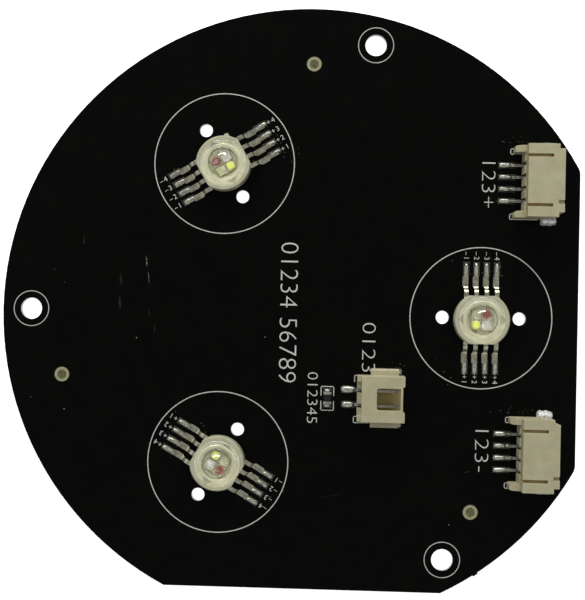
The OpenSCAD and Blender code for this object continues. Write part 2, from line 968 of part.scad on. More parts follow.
base_plate();
insulator();
copper();
solder_mask();
silkscreen();
for (k = [0 : 2]) {
    led = str("led_", k + 1, "_");
    led_body(k, gate = k == 0);
    led_lens(k);
    led_slug(k);
    led_die(k, 1, 1, "darkred");
    led_die(k, -1, 1, "lightgray");
    led_die(k, 1, -1, "lightgray");
    led_die(k, -1, -1, "khaki");
    led_phosphor(k);
    led_wires(k);
    led_leads(k, PLUS);
    led_leads(k, MINUS);
    led_solder(k);
}
for (h = [["plus_header_", plus_y], ["minus_header_", minus_y]]) {
    cream() at_header(power_x, h[1]) power_housing();
    tin() at_header(power_x, h[1]) power_contacts();
    tin() at_header(power_x, h[1]) power_tabs();
    tin() at_header(power_x, h[1]) power_solder();
}
cream() at_header(sensor_x, sensor_y) sensor_housing();  // sensor_header_housing
tin() at_header(sensor_x, sensor_y) sensor_contacts();  // sensor_header_contacts
tin() at_header(sensor_x, sensor_y) sensor_tabs();  // sensor_header_tabs
tin() at_header(sensor_x, sensor_y) sensor_solder();  // sensor_header_solder
color([0.1, 0.1, 0.1]) at_chip() chip_body();  // thermistor_body
tin() at_chip() chip_caps();  // thermistor_caps
tin() at_chip() chip_solder();  // thermistor_solder
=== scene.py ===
import math
import random

import bmesh
import bpy
from mathutils import Matrix, Vector


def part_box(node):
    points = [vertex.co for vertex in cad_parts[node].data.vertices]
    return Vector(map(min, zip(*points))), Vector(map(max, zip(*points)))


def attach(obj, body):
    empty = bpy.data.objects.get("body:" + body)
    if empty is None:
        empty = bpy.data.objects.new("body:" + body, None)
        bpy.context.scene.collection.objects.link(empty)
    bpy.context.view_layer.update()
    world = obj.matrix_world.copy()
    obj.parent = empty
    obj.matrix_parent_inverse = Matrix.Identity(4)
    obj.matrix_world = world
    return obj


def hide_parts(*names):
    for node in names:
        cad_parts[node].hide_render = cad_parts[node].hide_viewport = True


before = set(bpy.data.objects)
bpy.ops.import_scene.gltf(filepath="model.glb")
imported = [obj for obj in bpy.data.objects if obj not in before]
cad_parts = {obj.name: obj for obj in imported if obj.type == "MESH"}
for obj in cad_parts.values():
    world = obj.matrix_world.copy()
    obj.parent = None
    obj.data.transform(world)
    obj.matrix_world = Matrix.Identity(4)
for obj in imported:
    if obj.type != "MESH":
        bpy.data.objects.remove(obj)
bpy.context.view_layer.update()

# Stage: a pale table, five soft lamps and a camera above the component side. The strongest lamp
# stands past the board's upper edge, where the lens domes and the bends of the leads catch it.
MM = 0.001
# place in mm, and turns in degrees about X, Y and Z, of the camera as fitted to the photograph
CAMERA_AT = (3.826, -0.325, 190.977)
CAMERA_TURN = (-0.806, -1.914, -1.252)
FOCAL_LENGTH = 67.88
SENSOR_WIDTH = 36
NEAREST_SEEN = 0.01
# the table and the lamps in metres
TABLE_SIDE = 3.0
TABLE_Z = -0.00003
TABLE_SHADE = (0.8, 0.8, 0.8, 1)
TABLE_ROUGHNESS = 0.7
TABLE_GLOW = 0.78
LAMP_DISTANCE = 0.62
LAMPS = {
    "lamp_above": dict(azimuth=87, elevation=27, size=(0.36, 0.15), watts=2.9),
    "lamp_beside": dict(azimuth=113, elevation=29, size=(0.15, 0.13), watts=1.5),
    "lamp_below": dict(azimuth=-88, elevation=48, size=(0.30, 0.30), watts=0.45),
    "lamp_left": dict(azimuth=176, elevation=44, size=(0.30, 0.30), watts=0.6),
    "lamp_right": dict(azimuth=6, elevation=50, size=(0.30, 0.30), watts=0.5),
}
FILL_LIGHT = 0.16


def put_in(name, data):
    """A new object, put into the scene."""
    obj = bpy.data.objects.new(name, data)
    bpy.context.scene.collection.objects.link(obj)
    return obj


def new_material(name):
    """A new material, its tree and the shader that it starts with."""
    material = bpy.data.materials.new(name)
    material.use_nodes = True
    return material, material.node_tree, material.node_tree.nodes["Principled BSDF"]


def add_node(tree, kind, inputs=(), **settings):
    """A node with its settings. Each input is given a value, or a socket that it is linked from."""
    node = tree.nodes.new(kind)
    for key, setting in settings.items():
        setattr(node, key, setting)
    for key, given in dict(inputs).items():
        if isinstance(given, bpy.types.NodeSocket):
            tree.links.new(given, node.inputs[key])
        else:
            node.inputs[key].default_value = given
    return node


def calculated(tree, operation, *values):
    """Result of a Math node on numbers and sockets."""
    return add_node(tree, "ShaderNodeMath", enumerate(values), operation=operation).outputs[0]


def seen_ray(tree):
    """Factor of 1 for the rays that the eye follows: straight, mirrored or through glass."""
    path = add_node(tree, "ShaderNodeLightPath")
    total = path.outputs["Is Camera Ray"]
    for name in ("Is Glossy Ray", "Is Transmission Ray"):
        total = calculated(tree, "MAXIMUM", total, path.outputs[name])
    return total


camera = put_in("camera", bpy.data.cameras.new("camera"))
camera.data.lens = FOCAL_LENGTH
camera.data.sensor_width = SENSOR_WIDTH
camera.data.clip_start = NEAREST_SEEN
turn_x, turn_y, turn_z = (Matrix.Rotation(math.radians(a), 3, axis) for a, axis in zip(CAMERA_TURN, "XYZ"))
camera.matrix_world = (
    Matrix.Translation(Vector(CAMERA_AT) * MM) @ (turn_z @ turn_y @ turn_x).transposed().to_4x4()
)
bpy.context.scene.camera = camera
bpy.context.scene.view_settings.view_transform = "Standard"

for name, lamp in LAMPS.items():
    light = bpy.data.lights.new(name, "AREA")
    light.energy = lamp["watts"]
    light.shape = "RECTANGLE"
    light.size, light.size_y = lamp["size"]
    azimuth, elevation = math.radians(lamp["azimuth"]), math.radians(lamp["elevation"])
    obj = put_in(name, light)
    obj.location = LAMP_DISTANCE * Vector((
        math.cos(azimuth) * math.cos(elevation),
        math.sin(azimuth) * math.cos(elevation),
        math.sin(elevation),
    ))
    obj.rotation_euler = obj.location.to_track_quat("Z", "Y").to_euler()

world = bpy.data.worlds.new("studio")
bpy.context.scene.world = world
world.use_nodes = True
tree = world.node_tree
fill = tree.nodes["Background"]
fill.inputs["Color"].default_value = (1, 1, 1, 1)
fill.inputs["Strength"].default_value = FILL_LIGHT
backdrop = add_node(tree, "ShaderNodeBackground")
mixed = add_node(tree, "ShaderNodeMixShader", {
    0: seen_ray(tree), 1: fill.outputs[0], 2: backdrop.outputs[0],
})
tree.links.new(mixed.outputs[0], tree.nodes["World Output"].inputs["Surface"])

table_top, tree, shader = new_material("table_top")
shader.inputs["Base Color"].default_value = TABLE_SHADE
shader.inputs["Roughness"].default_value = TABLE_ROUGHNESS
glow = add_node(tree, "ShaderNodeEmission", {
    "Strength": calculated(tree, "MULTIPLY", seen_ray(tree), TABLE_GLOW),
})
both = add_node(tree, "ShaderNodeAddShader", {0: shader.outputs[0], 1: glow.outputs[0]})
tree.links.new(both.outputs[0], tree.nodes["Material Output"].inputs["Surface"])
table_mesh = bpy.data.meshes.new("table")
half = TABLE_SIDE / 2
table_mesh.from_pydata(
    [(-half, -half, TABLE_Z), (half, -half, TABLE_Z), (half, half, TABLE_Z), (-half, half, TABLE_Z)],
    [], [(0, 1, 2, 3)],
)
table_mesh.materials.append(table_top)
put_in("table", table_mesh)

# Base plate: 0.85 mm aluminium, routed to its outline and drilled. Rolling left fine lines along
# the sheet, which show on the back, the rim and the walls of the holes.
GRAIN_DETAIL = 3
# size of the grains in roughness against those in colour
GLOSS_GRAIN = 0.6
# numbers of a Mix node's two colour inputs and of its colour output
MIX_FIRST, MIX_SECOND, MIX_RESULT = 6, 7, 2


def linear(red, green, blue):
    """A colour as seen on a screen, 0 to 255, as the light that a shader works in."""
    channels = (c / 255 for c in (red, green, blue))
    return tuple(c / 12.92 if c <= 0.04045 else ((c + 0.055) / 1.055) ** 2.4 for c in channels) + (1,)


def grain(tree, size, stretch=(1, 1, 1)):
    """Noise on the piece's own coordinates, with grains of that many millimetres."""
    place = add_node(tree, "ShaderNodeTexCoord").outputs["Object"]
    scaled = add_node(tree, "ShaderNodeMapping", {"Vector": place, "Scale": stretch}).outputs["Vector"]
    return add_node(tree, "ShaderNodeTexNoise", {
        "Vector": scaled, "Scale": 1 / (size * MM), "Detail": GRAIN_DETAIL,
    }).outputs[0]


def spread(tree, factor, low, high, start=0.3, end=0.7):
    """Maps the range from start to end, by default the middle of a noise, to that from low to high."""
    return add_node(tree, "ShaderNodeMapRange", {
        "Value": factor, "From Min": start, "From Max": end, "To Min": low, "To Max": high,
    }).outputs["Result"]


def blended(tree, factor, first, second):
    """Colour that goes from the first to the second; either is a colour or a socket."""
    return add_node(
        tree, "ShaderNodeMix", {0: factor, MIX_FIRST: first, MIX_SECOND: second}, data_type="RGBA",
    ).outputs[MIX_RESULT]


def surface(name, dark, light, size, gloss, bump, metal=0.0, stretch=(1, 1, 1), **sockets):
    """A finish whose colour wanders from dark to light and whose roughness wanders over gloss, in grains
    of size mm, with bumps of (height, size) in mm."""
    material, tree, shader = new_material(name)
    shader.inputs["Metallic"].default_value = metal
    for socket, value in sockets.items():
        shader.inputs[socket.replace("_", " ")].default_value = value
    wander = spread(tree, grain(tree, size, stretch), 0, 1)
    tree.links.new(blended(tree, wander, linear(*dark), linear(*light)), shader.inputs["Base Color"])
    shine = spread(tree, grain(tree, size * GLOSS_GRAIN, stretch), *gloss)
    tree.links.new(shine, shader.inputs["Roughness"])
    height, bump_size = bump
    relief = add_node(tree, "ShaderNodeBump", {
        "Strength": 1, "Distance": height * MM, "Height": grain(tree, bump_size, stretch),
    })
    tree.links.new(relief.outputs["Normal"], shader.inputs["Normal"])
    return material


def dress(node, material):
    """Gives a CAD piece its finish."""
    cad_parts[node].material_slots[0].material = material


dress("base_plate", surface(
    "rolled_aluminium", (128, 130, 132), (176, 178, 180), size=1.2, gloss=(0.32, 0.5),
    bump=(0.004, 0.35), metal=1.0, stretch=(0.06, 1, 1),
))

# Insulator: 75 micrometres of ceramic-filled resin that bonds the copper to the plate. It shows as a
# pale olive ring in the three fiducials and as a thin line round the rim.
dress("insulator", surface(
    "filled_resin", (122, 121, 88), (148, 146, 112), size=0.25, gloss=(0.5, 0.7), bump=(0.003, 0.1),
))

# Copper: lands and tracks etched from foil and levelled with hot tin, which lies in slight
# waves. Only the fiducial dots and the rims of the lands stay bare.
dress("copper", surface(
    "levelled_tin", (70, 68, 46), (98, 95, 66), size=0.5, gloss=(0.34, 0.5), bump=(0.008, 0.5), metal=0.8,
))

# Solder mask: black lacquer, screened on and cured. It stands slightly over the tracks, has an
# orange-peel skin and carries the faint rubs of handling.
RUBS = (
    # centre, length and width in mm, the turn of the rub in degrees, and how far it shows
    ((-27.3, 8.3), 2.1, 0.26, 95, 1.0),
    ((-26.9, 5.7), 2.7, 0.18, 96, 0.6),
    ((-31.6, 5.2), 2.6, 0.6, 91, 0.08),
    ((-31.7, 1.3), 3.0, 0.6, 93, 0.1),
    ((-38.0, 11.7), 1.6, 0.3, 85, 0.14),
    ((-26.7, -0.2), 1.9, 0.25, 100, 0.1),
    ((-25.7, -2.9), 1.7, 0.35, 90, 0.08),
    ((4.9, -30.2), 5.0, 0.16, 12, 0.06),
)
RUB_SHADE = (168, 168, 160)
RUB_GRAIN = 0.5


def soft_mark(tree, centre, length, width, turn=0):
    """1 in the middle of an oval mark, falling to 0 at its rim."""
    place = add_node(tree, "ShaderNodeTexCoord").outputs["Object"]
    local = add_node(tree, "ShaderNodeMapping", {
        "Vector": place, "Location": (centre[0] * MM, centre[1] * MM, 0),
        "Rotation": (0, 0, math.radians(turn)), "Scale": (length * MM / 2, width * MM / 2, 1),
    }, vector_type="TEXTURE").outputs["Vector"]
    flat = add_node(tree, "ShaderNodeVectorMath", {0: local, 1: (1, 1, 0)}, operation="MULTIPLY")
    reach = add_node(tree, "ShaderNodeVectorMath", {0: flat.outputs["Vector"]}, operation="LENGTH")
    return spread(tree, reach.outputs["Value"], 1, 0, 0, 1)


def recoloured(material, factor, shade):
    """Leads a finish's colour over to a shade as far as the factor says."""
    tree = material.node_tree
    colour = tree.nodes["Principled BSDF"].inputs["Base Color"]
    tree.links.new(blended(tree, factor, colour.links[0].from_socket, linear(*shade)), colour)


def lacquer():
    """Black mask with its rubs, which the skin breaks up."""
    material = surface(
        "black_lacquer", (3, 4, 3), (6, 7, 5), size=2.5, gloss=(0.34, 0.42), bump=(0.003, 0.6),
        Specular_IOR_Level=0.022,
    )
    tree = material.node_tree
    rubbed = 0
    for *rub, strength in RUBS:
        rubbed = calculated(tree, "MULTIPLY_ADD", soft_mark(tree, *rub), strength, rubbed)
    skin = spread(tree, grain(tree, RUB_GRAIN), 0, 1)
    recoloured(material, calculated(tree, "MULTIPLY", rubbed, skin), RUB_SHADE)
    return material


dress("solder_mask", lacquer())

# Silkscreen: white epoxy ink, 15 micrometres thick, printed through a mesh. Rings stand round the
# LEDs and the mounting holes, brackets round the headers and the chip, and plain numbers beside them.
RING_STEPS = 128
# heights of the ink in mm over the back of the board; it reaches down into the lacquer
INK_BASE = 0.975
INK_TOP = 1.015
MARKS = (
    # text, start of its baseline, height of the digits, width of a stroke, length of the print
    ("01234 56789", (-4.65, 12.0), 3.1, 0.34, 23.5),
    ("123+", (28.7, 26.1), 2.4, 0.24, 7.6),
    ("123-", (28.42, -18.7), 2.4, 0.24, 6.9),
    ("0123", (9.3, -1.2), 2.35, 0.25, 8.2),
    ("012345", (0.3, -9.7), 1.8, 0.21, 8.5),
)
LED_CIRCLE = 29.0
LED_ANGLES = {1: 120, 2: 0, 3: 240}
# places of four like things in a row, in pitches from its middle
ROW = (-1.5, -0.5, 0.5, 1.5)
RINGS = (
    # angles of the middles, how far out they are, the ring's radius and the width of its line
    (LED_ANGLES.values(), LED_CIRCLE, 11.8, 0.155),
    ((76.9, 180, 300), 46.7, 2.95, 0.125),
)
HEADERS = {
    # the point of the board under the middle of the rear face, and the distance between pins
    "plus_header_": (35.35, 22.65, 2.0),
    "minus_header_": (35.35, -22.2, 2.0),
}
SENSOR_AT = (9.3, -13.7)
CHIP_AT = (3.67, -13.94)
BRACKET_LINE = 0.14
# how far the print lies off the middle of the four-pin headers
BRACKET_SLIP = 0.13
BRACKETS = [
    # place, then the corners that the line goes through
    ((x, y - BRACKET_SLIP), (
        (-1.45, side * 5.02), (-1.9, side * 5.02), (-1.9, side * 5.9), (2.7, side * 5.9),
    ))
    for x, y, _ in HEADERS.values() for side in (-1, 1)
] + [
    (SENSOR_AT, ((-1.12, 2.65), (-1.12, 3.65), (1.4, 3.65))),
    (SENSOR_AT, ((-0.7, -3.22), (-1.2, -3.22), (-1.2, -4.25), (1.4, -4.25))),
    (CHIP_AT, ((-1.06, 0.42), (-1.06, 1.92), (1.06, 1.92), (1.06, 0.42))),
    (CHIP_AT, ((-1.06, -0.55), (-1.06, -2.06), (1.06, -2.06), (1.06, -0.55))),
]
LEAD_PITCH = 1.7
LEAD_MARK_HEIGHT = 0.85
LEAD_MARK_STROKE = 0.13
LEAD_MARK_SPACING = 1.3
LEAD_MARK_STARTS = (("+", 9.55), ("\u2013", -11.1))
# height and stroke of the font's own digits, which are made one unit thick
DIGIT_HEIGHT = 0.7
DIGIT_STROKE = 0.115
DIGIT_THICKNESS = 1

ink = surface(
    "white_ink", (170, 170, 164), (194, 194, 188), size=0.3, gloss=(0.6, 0.8), bump=(0.003, 0.12),
    Specular_IOR_Level=0.3,
)


def swung(angle, x, y=0):
    """The point (x, y) of the board, swung round its middle by that many degrees."""
    return Matrix.Rotation(math.radians(angle), 2) @ Vector((x, y))


def as_shown(maker):
    """Plain mesh of an object as its modifiers leave it. The object is then dropped."""
    mesh = bpy.data.meshes.new_from_object(maker.evaluated_get(bpy.context.evaluated_depsgraph_get()))
    bpy.data.objects.remove(maker)
    return mesh


def printed(text, start, height, stroke, length=None, facing=0, spacing=1):
    """Characters as a thin solid in mm. The baseline runs from start along -Y, turned by facing degrees."""
    curve = bpy.data.curves.new("print", "FONT")
    curve.body = text
    curve.extrude = DIGIT_THICKNESS / 2
    curve.offset = (stroke * DIGIT_HEIGHT / height - DIGIT_STROKE) / 2
    curve.resolution_u = 3
    curve.space_character = spacing
    mesh = as_shown(put_in("print", curve))
    bpy.data.curves.remove(curve)
    xs = [v.co.x for v in mesh.vertices]
    across = height / DIGIT_HEIGHT
    along = length / (max(xs) - min(xs)) if length else across
    mesh.transform(
        Matrix.Translation((0, 0, (INK_BASE + INK_TOP) / 2))
        @ Matrix.Rotation(math.radians(facing), 4, "Z")
        @ Matrix.Translation((*start, 0))
        @ Matrix.Rotation(math.radians(-90), 4, "Z")
        @ Matrix.Diagonal((along, across, (INK_TOP - INK_BASE) / DIGIT_THICKNESS, 1))
        @ Matrix.Translation((-min(xs), 0, 0))
    )
    return mesh


def piece(name, mesh, material, slot, *replaced):
    """A finished piece from a mesh in mm: brought to scale, dressed, and riding on the board."""
    mesh.transform(Matrix.Scale(MM, 4))
    mesh.materials.clear()
    mesh.materials.append(material)
    obj = put_in(name, mesh)
    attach(obj, "root")
    if replaced:
        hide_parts(*replaced)


def turned(bm, verts, lines, steps):
    """Turns a section once round the axis and closes what it makes."""
    bmesh.ops.spin(
        bm, geom=verts + lines, cent=(0, 0, 0), axis=(0, 0, 1), angle=math.tau, steps=steps,
        use_duplicate=False,
    )
    bmesh.ops.remove_doubles(bm, verts=bm.verts, dist=1e-4)
    bmesh.ops.recalc_face_normals(bm, faces=bm.faces)


def as_mesh(bm, name):
    """Plain mesh of what a bmesh holds, which is then dropped."""
    mesh = bpy.data.meshes.new(name)
    bm.to_mesh(mesh)
    bm.free()
    return mesh


def joined(name, meshes):
    """One mesh from several, which are then dropped."""
    bm = bmesh.new()
    for mesh in meshes:
        bm.from_mesh(mesh)
        bpy.data.meshes.remove(mesh)
    bmesh.ops.remove_doubles(bm, verts=bm.verts, dist=1e-5)
    bmesh.ops.recalc_face_normals(bm, faces=bm.faces)
    return as_mesh(bm, name)


def ring_print(centre, radius, line):
    """A printed ring in mm."""
    bm = bmesh.new()
    half = line / 2
    section = ((-half, INK_BASE), (half, INK_BASE), (half, INK_TOP), (-half, INK_TOP))
    verts = [bm.verts.new((radius + across, 0, z)) for across, z in section]
    lines = [bm.edges.new((verts[i - 1], verts[i])) for i in range(4)]
    turned(bm, verts, lines, RING_STEPS)
    bmesh.ops.translate(bm, vec=(*centre, 0), verts=bm.verts)
    return as_mesh(bm, "ring_print")


def blocks_mesh(name, blocks):
    """Boxes given by two opposite corners."""
    bm = bmesh.new()
    for low, high in blocks:
        low, high = Vector(low), Vector(high)
        size = Matrix.Diagonal((*(high - low), 1))
        bmesh.ops.create_cube(bm, size=1, matrix=Matrix.Translation((low + high) / 2) @ size)
    return as_mesh(bm, name)


strokes = []
for place, corners in BRACKETS:
    for start, stop in zip(corners, corners[1:]):
        low = [place[i] + min(start[i], stop[i]) - BRACKET_LINE / 2 for i in (0, 1)]
        high = [place[i] + max(start[i], stop[i]) + BRACKET_LINE / 2 for i in (0, 1)]
        strokes.append(((*low, INK_BASE), (*high, INK_TOP)))
lines = [blocks_mesh("brackets", strokes)]
for angles, away, radius, line in RINGS:
    lines += [ring_print(swung(angle, away), radius, line) for angle in angles]
piece("printed_lines", joined("printed_lines", lines), ink, "white_ink", "silkscreen")

prints = [printed(*mark) for mark in MARKS]
for angle in LED_ANGLES.values():
    for sign, mark_start in LEAD_MARK_STARTS:
        for number, step in enumerate(ROW, 1):
            lead_x = LED_CIRCLE + step * LEAD_PITCH - LEAD_MARK_HEIGHT / 2
            prints.append(printed(
                f"{sign}{number}", (lead_x, -mark_start), LEAD_MARK_HEIGHT, LEAD_MARK_STROKE,
                facing=angle, spacing=LEAD_MARK_SPACING,
            ))
piece("printed_marks", joined("printed_marks", prints), ink, "white_ink")

# LED leads and slugs: what each package is built on. Eight tinned leads, pressed from one sheet, run
# out of it and come down to the board in two bends; a silver-plated copper slug lies in its middle.
LEAD_THICK = 0.25
LEAD_ROUNDING = 0.04
LEAD_EDGES = (-0.375, 0.375)
LEAD_PATH = (
    # distance from the package's middle, height over the board, and the two edges where they stand out
    (3.35, 1.56), (3.6, 1.16), (3.75, 1.08), (4.4, 1.075), (4.52, 1.06), (4.6, 1.02), (4.78, 0.92),
    (4.95, 0.81), (5.03, 0.72), (5.09, 0.56), (5.16, 0.4, -0.385, 0.375), (5.25, 0.32, -0.4, 0.375),
    (5.4, 0.23, -0.43, 0.38), (5.54, 0.155, -0.54, 0.4), (5.63, 0.13, -0.59, 0.405),
    (5.75, 0.125, -0.595, 0.405), (7.15, 0.125, -0.595, 0.405), (7.21, 0.125, -0.5, 0.38),
    (7.27, 0.125, -0.38, 0.375), (8.95, 0.125),
)
LEAD_ROOT = LEAD_PATH[0][0]
# height of the component side in mm over the back of the board
BOARD_TOP = 1.0

lead_tin = surface(
    "lead_tin", (102, 101, 88), (146, 145, 128), size=0.5, gloss=(0.2, 0.36), bump=(0.012, 0.28), metal=1.0,
)
# the slug's colour is a painted reflection: the silver is given the cream of the cup that it mirrors
slug_silver = surface(
    "slug_silver", (124, 126, 100), (150, 152, 124), size=0.4, gloss=(0.4, 0.55), bump=(0.004, 0.15),
    metal=0.35,
)


def middle(node):
    """Centre of a CAD piece's box seen from above, in mm."""
    low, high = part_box(node)
    return (low + high).xy / (2 * MM)


def led_centre(k):
    """Middle of a package, which is that of its slug."""
    return middle(f"led_{k}_slug")


def led_place(k):
    """What turns and moves a shape from the package's own middle to the LED's place on the board."""
    return (
        Matrix.Translation((*led_centre(k), BOARD_TOP)) @ Matrix.Rotation(math.radians(LED_ANGLES[k]), 4, "Z")
    )


def copied(node):
    """A copy of a CAD piece in mm with whole faces in place of the loose triangles."""
    bm = bmesh.new()
    bm.from_mesh(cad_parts[node].data)
    bmesh.ops.scale(bm, vec=(1 / MM,) * 3, verts=bm.verts)
    bmesh.ops.remove_doubles(bm, verts=bm.verts, dist=0.0005)
    bmesh.ops.dissolve_limit(bm, angle_limit=math.radians(0.5), verts=bm.verts, edges=bm.edges)
    return bm


def walled(bm, loops):
    """Faces between each loop of points and the next one."""
    for lower, upper in zip(loops, loops[1:]):
        for i in range(len(lower)):
            n = (i + 1) % len(lower)
            bm.faces.new((lower[i], lower[n], upper[n], upper[i]))


def smoothed(mesh, sharp):
    """The mesh shaded smooth, apart from edges of more than that many degrees."""
    mesh.shade_smooth()
    mesh.set_sharp_from_angle(angle=math.radians(sharp))
    return mesh


def bent_lead(bm, x, side):
    """Adds one lead, from the plastic out to its tip: a flat strip bent down to the board."""
    loops = []
    for i, (along, height, *edges) in enumerate(LEAD_PATH):
        before, after = LEAD_PATH[max(i - 1, 0)], LEAD_PATH[min(i + 1, len(LEAD_PATH) - 1)]
        run = Vector((after[0] - before[0], after[1] - before[1])).normalized()
        left, right = edges or LEAD_EDGES
        loop = []
        up, cut = LEAD_THICK / 2, LEAD_ROUNDING
        for a, b in (
            (left + cut, -up), (left, cut - up), (left, up - cut), (left + cut, up),
            (right - cut, up), (right, up - cut), (right, cut - up), (right - cut, -up),
        ):
            loop.append(bm.verts.new((x + a, side * (along - run.y * b), height + run.x * b)))
        loops.append(loop)
    walled(bm, loops)
    bm.faces.new(loops[0])
    bm.faces.new(loops[-1])


def lead_frame(k, side_name, side):
    """The four leads of one side: their inner fingers as in the CAD, their outer runs bent anew."""
    bm = copied(f"led_{k}_leads_{side_name}")
    bm.transform(led_place(k).inverted())
    cut = bmesh.ops.bisect_plane(
        bm, geom=bm.verts[:] + bm.edges[:] + bm.faces[:], plane_co=(0, side * LEAD_ROOT, 0),
        plane_no=(0, side, 0), clear_outer=True,
    )
    bmesh.ops.holes_fill(bm, edges=[e for e in cut["geom_cut"] if isinstance(e, bmesh.types.BMEdge)])
    for step in ROW:
        bent_lead(bm, step * LEAD_PITCH, side)
    bmesh.ops.recalc_face_normals(bm, faces=bm.faces)
    mesh = as_mesh(bm, f"led_{k}_frame_{side_name}")
    mesh.transform(led_place(k))
    return smoothed(mesh, sharp=30)


for k in LED_ANGLES:
    for side, sign in (("plus", -1), ("minus", 1)):
        piece(f"led_{k}_frame_{side}", lead_frame(k, side, sign), lead_tin, "lead_tin",
              f"led_{k}_leads_{side}")
    dress(f"led_{k}_slug", slug_silver)

# LED bodies: a cream ring moulded round the leads and the slug, with its edges slightly rounded. The
# floors of the V recesses beside the lens carry a painted shade, as shade falls in them.
BODY_EDGE = 0.05
RECESS_PAINTED_SHADE = (128, 130, 100)
# corners in mm of a thin slice over the whole board, at the height of those floors, which marks the painted
# shade
RECESS_LOW, RECESS_HIGH = (-60, -60, 3.32), (60, 60, 3.38)

body_plastic = surface(
    "led_plastic", (153, 152, 127), (170, 169, 143), size=1.5, gloss=(0.35, 0.5), bump=(0.004, 0.3),
)


def softened(node, edge, segments=2, sharp=35, added=(), cut=()):
    """A copy of a CAD piece in mm whose edges are broken by a small radius, as moulds and presses do.
    Blocks, as two opposite corners, may be added to it and cut out of it first."""
    rough = as_mesh(copied(node), node)
    rough.shade_smooth()
    maker = put_in(node, rough)
    tools = []
    for operation, blocks in (("UNION", added), ("DIFFERENCE", cut)):
        if blocks:
            shaping = maker.modifiers.new(operation, "BOOLEAN")
            shaping.operation = operation
            shaping.object = put_in(node + "_tool", blocks_mesh(node + "_tool", blocks))
            tools.append(shaping.object)
    bevel = maker.modifiers.new("edge", "BEVEL")
    bevel.width = edge
    bevel.segments = segments
    bevel.limit_method = "ANGLE"
    bevel.angle_limit = math.radians(sharp)
    bevel.harden_normals = True
    flat = maker.modifiers.new("flat", "WEIGHTED_NORMAL")
    flat.weight = 100
    mesh = as_shown(maker)
    for tool in tools:
        bpy.data.objects.remove(tool)
    bpy.data.meshes.remove(rough)
    return mesh


def with_painted_shade(material, shade):
    """Paints shade into the colour, leading it over to the given darker shade as far as the piece's marking
    attribute says.
    """
    deep = add_node(material.node_tree, "ShaderNodeAttribute", attribute_name="deep")
    recoloured(material, deep.outputs["Fac"], shade)


def marked_for_painted_shade(mesh, low, high, right=1):
    """Marks the points of a mesh in a box for painted shade: fully at its left, and by the given amount at
    its right.
    """
    mark = mesh.attributes.get("deep") or mesh.attributes.new("deep", "FLOAT", "POINT")
    for v, at in zip(mesh.vertices, mark.data):
        if all(a < c < b for a, c, b in zip(low, v.co, high)):
            at.value = 1 + (right - 1) * (v.co.x - low[0]) / (high[0] - low[0])


# a painted shade on the floors of the V recesses
with_painted_shade(body_plastic, RECESS_PAINTED_SHADE)
for k in LED_ANGLES:
    ring = softened(f"led_{k}_body", BODY_EDGE)
    marked_for_painted_shade(ring, RECESS_LOW, RECESS_HIGH)
    piece(f"led_{k}_ring", ring, body_plastic, "led_body", f"led_{k}_body")

# LED dies: a red, a green, a blue and a white one, sawn square and bonded to the slug. Through the
# lens each of them shows its colour as a soft spot inside a dull rim.
DIES = {
    # darkest and lightest colour, roughness, and width in mm of the soft mark that makes the spot
    "red": ((84, 25, 3), (108, 33, 6), (0.25, 0.4), 1.24),
    "green": ((126, 133, 102), (150, 158, 124), (0.2, 0.35), 1.4),
    "blue": ((144, 147, 140), (172, 175, 166), (0.2, 0.35), 1.4),
    "white": ((150, 150, 140), (176, 176, 160), (0.2, 0.35), 1.3),
}
DIE_RIM = (138, 132, 104)
# levels of the soft mark between which the rim gives way to the spot
DIE_FADE = (0.12, 0.42)


def rimmed(material, colour, size):
    """Keeps the die's colour to a spot of that many mm on each die, inside the rim."""
    tree = material.node_tree
    spots = 0
    for k in LED_ANGLES:
        spots = calculated(tree, "ADD", soft_mark(tree, middle(f"led_{k}_die_{colour}"), size, size), spots)
    recoloured(material, spread(tree, spots, 1, 0, *DIE_FADE), DIE_RIM)


for colour, (dark, light, gloss, spot) in DIES.items():
    finish = surface(f"{colour}_die", dark, light, size=0.2, gloss=gloss, bump=(0.002, 0.08))
    rimmed(finish, colour, spot)
    for k in LED_ANGLES:
        dress(f"led_{k}_die_{colour}", finish)

# LED phosphor: a yellow-green paste laid on the white die, where it set as a small plate with rounded
# corners. It is a little smaller than the die.
PASTE_RIM = (
    # how far under the top, and the share of the full width there
    (0.03, 1), (0.008, 0.97), (0, 0.9),
)
# place in mm from the package's middle, sides, and heights over the board
PHOSPHOR_AT = (-0.535, -0.535)
PHOSPHOR_SIDES = (0.74, 0.78)
PHOSPHOR_Z = (1.69, 1.79)

phosphor = surface(
    "phosphor", (170, 184, 68), (190, 202, 90), size=0.12, gloss=(0.6, 0.8), bump=(0.004, 0.05),
)


def rounded_square(around, power):
    """Points of a square from -1 to 1 with rounded corners, which are the sharper the higher the power."""
    turns = [math.tau * i / around for i in range(around)]
    return [
        [math.copysign(abs(part) ** (2 / power), part) for part in (math.cos(turn), math.sin(turn))]
        for turn in turns
    ]


def paste_plate(name, sides, levels, around=32, power=5):
    """A small plate with rounded corners and a rounded upper rim, as a paste sets."""
    bm = bmesh.new()
    low, high = levels
    loops = [
        [
            bm.verts.new((x * sides[0] * share / 2, y * sides[1] * share / 2, height))
            for x, y in rounded_square(around, power)
        ]
        for height, share in ((low, 1), *((high - drop, share) for drop, share in PASTE_RIM))
    ]
    walled(bm, loops)
    bm.faces.new(reversed(loops[0]))
    bm.faces.new(loops[-1])
    return smoothed(as_mesh(bm, name), sharp=50)


for k in LED_ANGLES:
    coat = paste_plate(f"led_{k}_coat", PHOSPHOR_SIDES, PHOSPHOR_Z)
    coat.transform(led_place(k) @ Matrix.Translation((*PHOSPHOR_AT, 0)))
    piece(f"led_{k}_coat", coat, phosphor, "phosphor", f"led_{k}_phosphor")

